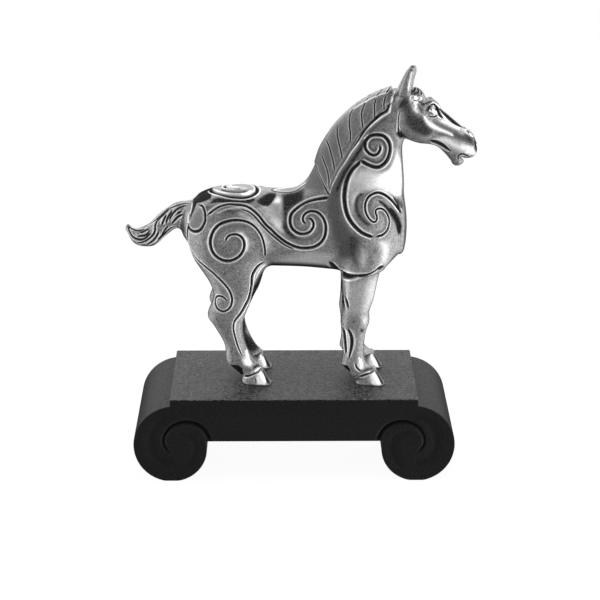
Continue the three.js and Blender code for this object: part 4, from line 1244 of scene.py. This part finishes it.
# %% [markdown]
# ## Writing materials as sums
#
# A finish is easier to read as arithmetic than as boxes and wires. A small class wraps a socket, so that
# adding or multiplying two of them adds the Math node that does it. A second class adds any other node, in
# a material or in the room.

# %% Sockets that can be calculated with
class Signal:
    """A number that varies over a surface: one output socket and the tree that it is in."""

    def __init__(self, nodes, socket):
        self.nodes, self.socket = nodes, socket

    def math(self, operation, *values):
        return self.nodes.add("ShaderNodeMath", {"operation": operation}, dict(enumerate(values)))[0]

    def __add__(self, other):
        return self.math("ADD", self, other)

    def __sub__(self, other):
        return self.math("SUBTRACT", self, other)

    def __rsub__(self, other):
        return self.math("SUBTRACT", other, self)

    def __mul__(self, other):
        return self.math("MULTIPLY", self, other)

    __radd__, __rmul__ = __add__, __mul__

    def at_least(self, other):
        return self.math("MAXIMUM", self, other)

    def clamped(self, low=0.0, high=1.0):
        return self.math("MINIMUM", self.at_least(low), high)


class Nodes:
    """A tree of nodes, with one method that adds any node."""

    def __init__(self, tree):
        self.tree = tree

    def join(self, value, socket):
        if isinstance(value, Signal):
            self.tree.links.new(value.socket, socket)
        else:
            socket.default_value = value

    def add(self, kind, settings=None, inputs=None):
        """Adds a node: its settings first, then the values or links of its sockets. Gives its outputs."""
        node = self.tree.nodes.new(kind)
        for name, value in (settings or {}).items():
            if name == "stops":
                self.set_stops(node.color_ramp, value)
            else:
                setattr(node, name, value)
        for name, value in (inputs or {}).items():
            self.join(value, node.inputs[name])
        return [Signal(self, socket) for socket in node.outputs]

    @staticmethod
    def set_stops(ramp, stops):
        """Greys by place, with an eased run from each to the next."""
        ramp.interpolation = "EASE"
        while len(ramp.elements) < len(stops):
            ramp.elements.new(1)
        for element, (place, grey) in zip(ramp.elements, stops):
            element.position, element.color = place, (grey, grey, grey, 1)


class Finish(Nodes):
    """A material with its Principled shader. Sockets are named with underscores for spaces."""

    def __init__(self, name, **steady):
        self.material = bpy.data.materials.new(name)
        self.material.use_nodes = True
        super().__init__(self.material.node_tree)
        self.shader = self.tree.nodes["Principled BSDF"]
        self.set(**steady)

    def set(self, **inputs):
        for socket, value in inputs.items():
            self.join(value, self.shader.inputs[socket.replace("_", " ")])
        return self.material

    def coordinates(self):
        return self.add("ShaderNodeTexCoord")[3]

    def attribute(self, name):
        return self.add("ShaderNodeAttribute", {"attribute_name": name})[2]

    def noise(self, place, scale, detail=2.0, roughness=0.5, stretch=None):
        if stretch:
            place = self.add("ShaderNodeMapping", {}, {"Vector": place, "Scale": stretch})[0]
        inputs = {"Vector": place, "Scale": scale, "Detail": detail, "Roughness": roughness}
        return self.add("ShaderNodeTexNoise", {}, inputs)[0]

    def grey(self, value):
        return self.add("ShaderNodeCombineColor", {}, {"Red": value, "Green": value, "Blue": value})[0]

    def bump(self, height, distance, strength):
        inputs = {"Height": height, "Distance": distance, "Strength": strength}
        return self.add("ShaderNodeBump", {}, inputs)[0]


# %% [markdown]
# ## Rubbed pewter
#
# The casting was darkened all over and then rubbed. The patina stays in the cut lines, where it is a black
# skin without the metal's gloss. The same dark is painted as shade and dark reflection beside the raised
# work, in soft hollows and under the belly. The rest is bright with the faint grain of a cloth polish, which
# makes its reflections soft and a little speckled, and painted highlights lighten its colour on rims, ridges
# and rubbed patches. The grain changes the tone, and the colour runs from it to the patina's.

# %% Pewter
PATINA_AND_SHADE_GREY = 0.012
pewter = Finish("rubbed_pewter", IOR=1.5, Specular_IOR_Level=0.0)
place = pewter.coordinates()
patina = pewter.attribute("patina")
grain = pewter.noise(place, 1500.0, 1.0, 0.6)
cloud = pewter.noise(place, 90.0, 3.0)
polish = pewter.attribute("polish")
# Where the second painted attribute is high, the tone is lifted: painted highlights, with polish.
tone = (0.235 + 0.08 * (cloud - 0.5) + 0.5 * (grain - 0.5) + 0.74 * polish).clamped(0.03, 0.97)
# The first painted attribute darkens the colour: patina in the cuts, painted shade and painted dark
# reflection elsewhere.
patina_and_shade_share = (patina * (1.08 + 1.4 * (grain - 0.5))).clamped()
rough = (0.24 + 0.12 * cloud + 0.10 * (grain - 0.5)) * (1 - patina_and_shade_share) + 0.8 * patina_and_shade_share
horse.data.materials.append(pewter.set(
    Base_Color=pewter.grey(tone * (1 - patina_and_shade_share) + PATINA_AND_SHADE_GREY * patina_and_shade_share),
    Metallic=1 - 0.85 * patina_and_shade_share,
    Roughness=rough.clamped(0.1, 0.9),
    Normal=pewter.bump(grain, 0.00008, 0.7),
))

# %% [markdown]
# ## Black-stained wood
#
# The stain hides the wood's colour, and only its pores and the faint streaks of its figure still catch the
# light. The face of the raised plate is a lighter grey and speckled, and the seams and channels of the
# volutes are painted darker as shade. The lighter face is found by its height, because a painted edge would
# be ragged where the mesh is coarse.

# %% Wood
LIGHTER_TOP_FROM = soles[2] / 1000 - 0.0003
LIGHTER_TOP_RUN = 0.000125
wood = Finish("black_stained_wood", Metallic=0.0, IOR=1.45, Specular_IOR_Level=0.135)
place = wood.coordinates()
pores = wood.noise(place, 800.0, 4.0, 0.65, stretch=(0.7, 1.0, 1.0))
specks = wood.noise(place, 1000.0, 2.0)
up = wood.add("ShaderNodeSeparateXYZ", {}, {"Vector": place})[2]
# The plate's top face is lighter than the rest of the wood.
lighter_top = ((up - LIGHTER_TOP_FROM) * (1 / LIGHTER_TOP_RUN)).clamped()
# Seams and channels darkened: painted shade in the recesses.
recess_shade_share = wood.attribute("grime")
figure = wood.noise(place, 60.0, 3.0, 0.5, stretch=(0.15, 1.0, 1.0))
tone = 0.005 + 0.004 * (figure - 0.5) + 0.012 * (specks - 0.5) + (0.03 + 0.2 * (specks - 0.5)) * lighter_top
rough = 0.46 + 0.3 * (pores - 0.5) + 0.3 * (specks - 0.5) + 0.6 * recess_shade_share
plinth.data.materials.append(wood.set(
    Base_Color=wood.grey(tone.clamped(0.002, 0.1) * (1 - 0.9 * recess_shade_share)),
    Roughness=rough.clamped(0.25, 1),
    Normal=wood.bump(pores, 0.00022, 0.8),
))

# %% [markdown]
# ## The studio
#
# Polished metal shows its surroundings, so the room is what the horse is painted with. Behind the table
# hangs a white backdrop, which brightens everything that faces up. The front of the room is pale near the
# table's height and dark overhead. A tall white screen stands on either side. A soft sun lights the table
# and the wood, and the metal doesn't mirror it. The picture's own background is plain white.

# %% Room
scene = bpy.context.scene
scene.view_settings.view_transform = "Standard"


def room(name, front, screens, depth, backdrop, sky, seen):
    """Grey by height in front and a screen at each side, fading towards the back, where a white cloth hangs
    above the table. The picture's background is one grey."""
    world = bpy.data.worlds.new(name)
    world.use_nodes = True
    air = Nodes(world.node_tree)
    around = air.add("ShaderNodeTexCoord")[0]
    x, y, z = air.add("ShaderNodeSeparateXYZ", {}, {"Vector": around})

    def grey(direction, stops):
        return air.add("ShaderNodeValToRGB", {"stops": stops}, {"Fac": direction * 0.5 + 0.5})[0]

    near_side = grey(z, front).at_least(grey(x, screens)) * grey(y, depth)
    total = near_side.at_least(grey(y, backdrop) * grey(z, sky))
    lit = air.add("ShaderNodeBackground", {}, {"Color": total})[0]
    plain = air.add("ShaderNodeBackground", {}, {"Color": (seen, seen, seen, 1)})[0]
    seen_directly = air.add("ShaderNodeLightPath")[0]
    mixed = air.add("ShaderNodeMixShader", {}, {0: seen_directly, 1: lit, 2: plain})[0]
    air.join(mixed, air.tree.nodes["World Output"].inputs["Surface"])
    return world


scene.world = room(
    "studio",
    front=[(0.2, 0.59), (0.48, 0.85), (0.62, 0.54), (0.78, 0.13), (0.98, 0.09)],
    screens=[(0.08, 1.6), (0.28, 0.0), (0.55, 0.0), (0.68, 1.2), (0.92, 2.1)],
    depth=[(0.72, 1.0), (0.88, 0.12)],
    backdrop=[(0.5, 0.0), (0.62, 1.5)],
    sky=[(0.46, 0.0), (0.54, 1.0)],
    seen=1.0,
)

# %% Table
TABLE_HALF = 0.45
corners = [(-TABLE_HALF, -TABLE_HALF, 0), (TABLE_HALF, -TABLE_HALF, 0),
           (TABLE_HALF, TABLE_HALF, 0), (-TABLE_HALF, TABLE_HALF, 0)]
floor = new_object("floor", corners, [(0, 1, 2, 3)])
glowing = Finish("lit_white_table", Base_Color=(0.04, 0.04, 0.04, 1), Roughness=1.0, Specular_IOR_Level=0.0,
                 Emission_Color=(1, 1, 1, 1), Emission_Strength=0.955)
floor.data.materials.append(glowing.material)
floor.visible_glossy = False


# %% The sun
SUN_FROM = np.array([-0.3, -0.2, 0.91])
light = bpy.data.lights.new("soft_sun", "SUN")
light.energy = 2.6
light.angle = math.radians(80)
sun = bpy.data.objects.new("soft_sun", light)
sun.location = (-0.3, -0.2, 1.0)
sun.rotation_euler = (math.acos(SUN_FROM[2] / np.linalg.norm(SUN_FROM)), 0,
                      math.atan2(SUN_FROM[1], SUN_FROM[0]) + math.pi / 2)
sun.visible_camera = False
sun.visible_glossy = False
scene.collection.objects.link(sun)

# %% [markdown]
# ## The camera
#
# A long lens from 18 degrees above, almost square on. The numbers were fitted to the plinth's corners.

# %% Camera
SENSOR = 36.0
FOCAL_PIXELS = 2055.11
FRAME_PIXELS = 600
CAMERA_AZIMUTH = math.radians(-0.47)
CAMERA_ELEVATION = math.radians(18)
CAMERA_DISTANCE = 0.9741
target = np.array([soles[0] / 1000 + 0.003, 0, 0.07785])
back = np.array([math.sin(CAMERA_AZIMUTH) * math.cos(CAMERA_ELEVATION),
                 -math.cos(CAMERA_AZIMUTH) * math.cos(CAMERA_ELEVATION), math.sin(CAMERA_ELEVATION)])
lens = bpy.data.cameras.new("camera")
lens.sensor_width = SENSOR
lens.lens = FOCAL_PIXELS / FRAME_PIXELS * SENSOR
lens.clip_start = 0.05
camera = bpy.data.objects.new("camera", lens)
camera.location = target + back * CAMERA_DISTANCE
camera.rotation_euler = (math.pi / 2 - CAMERA_ELEVATION, 0, CAMERA_AZIMUTH)
scene.collection.objects.link(camera)
scene.camera = camera
print("camera at", [round(v, 4) for v in camera.location])
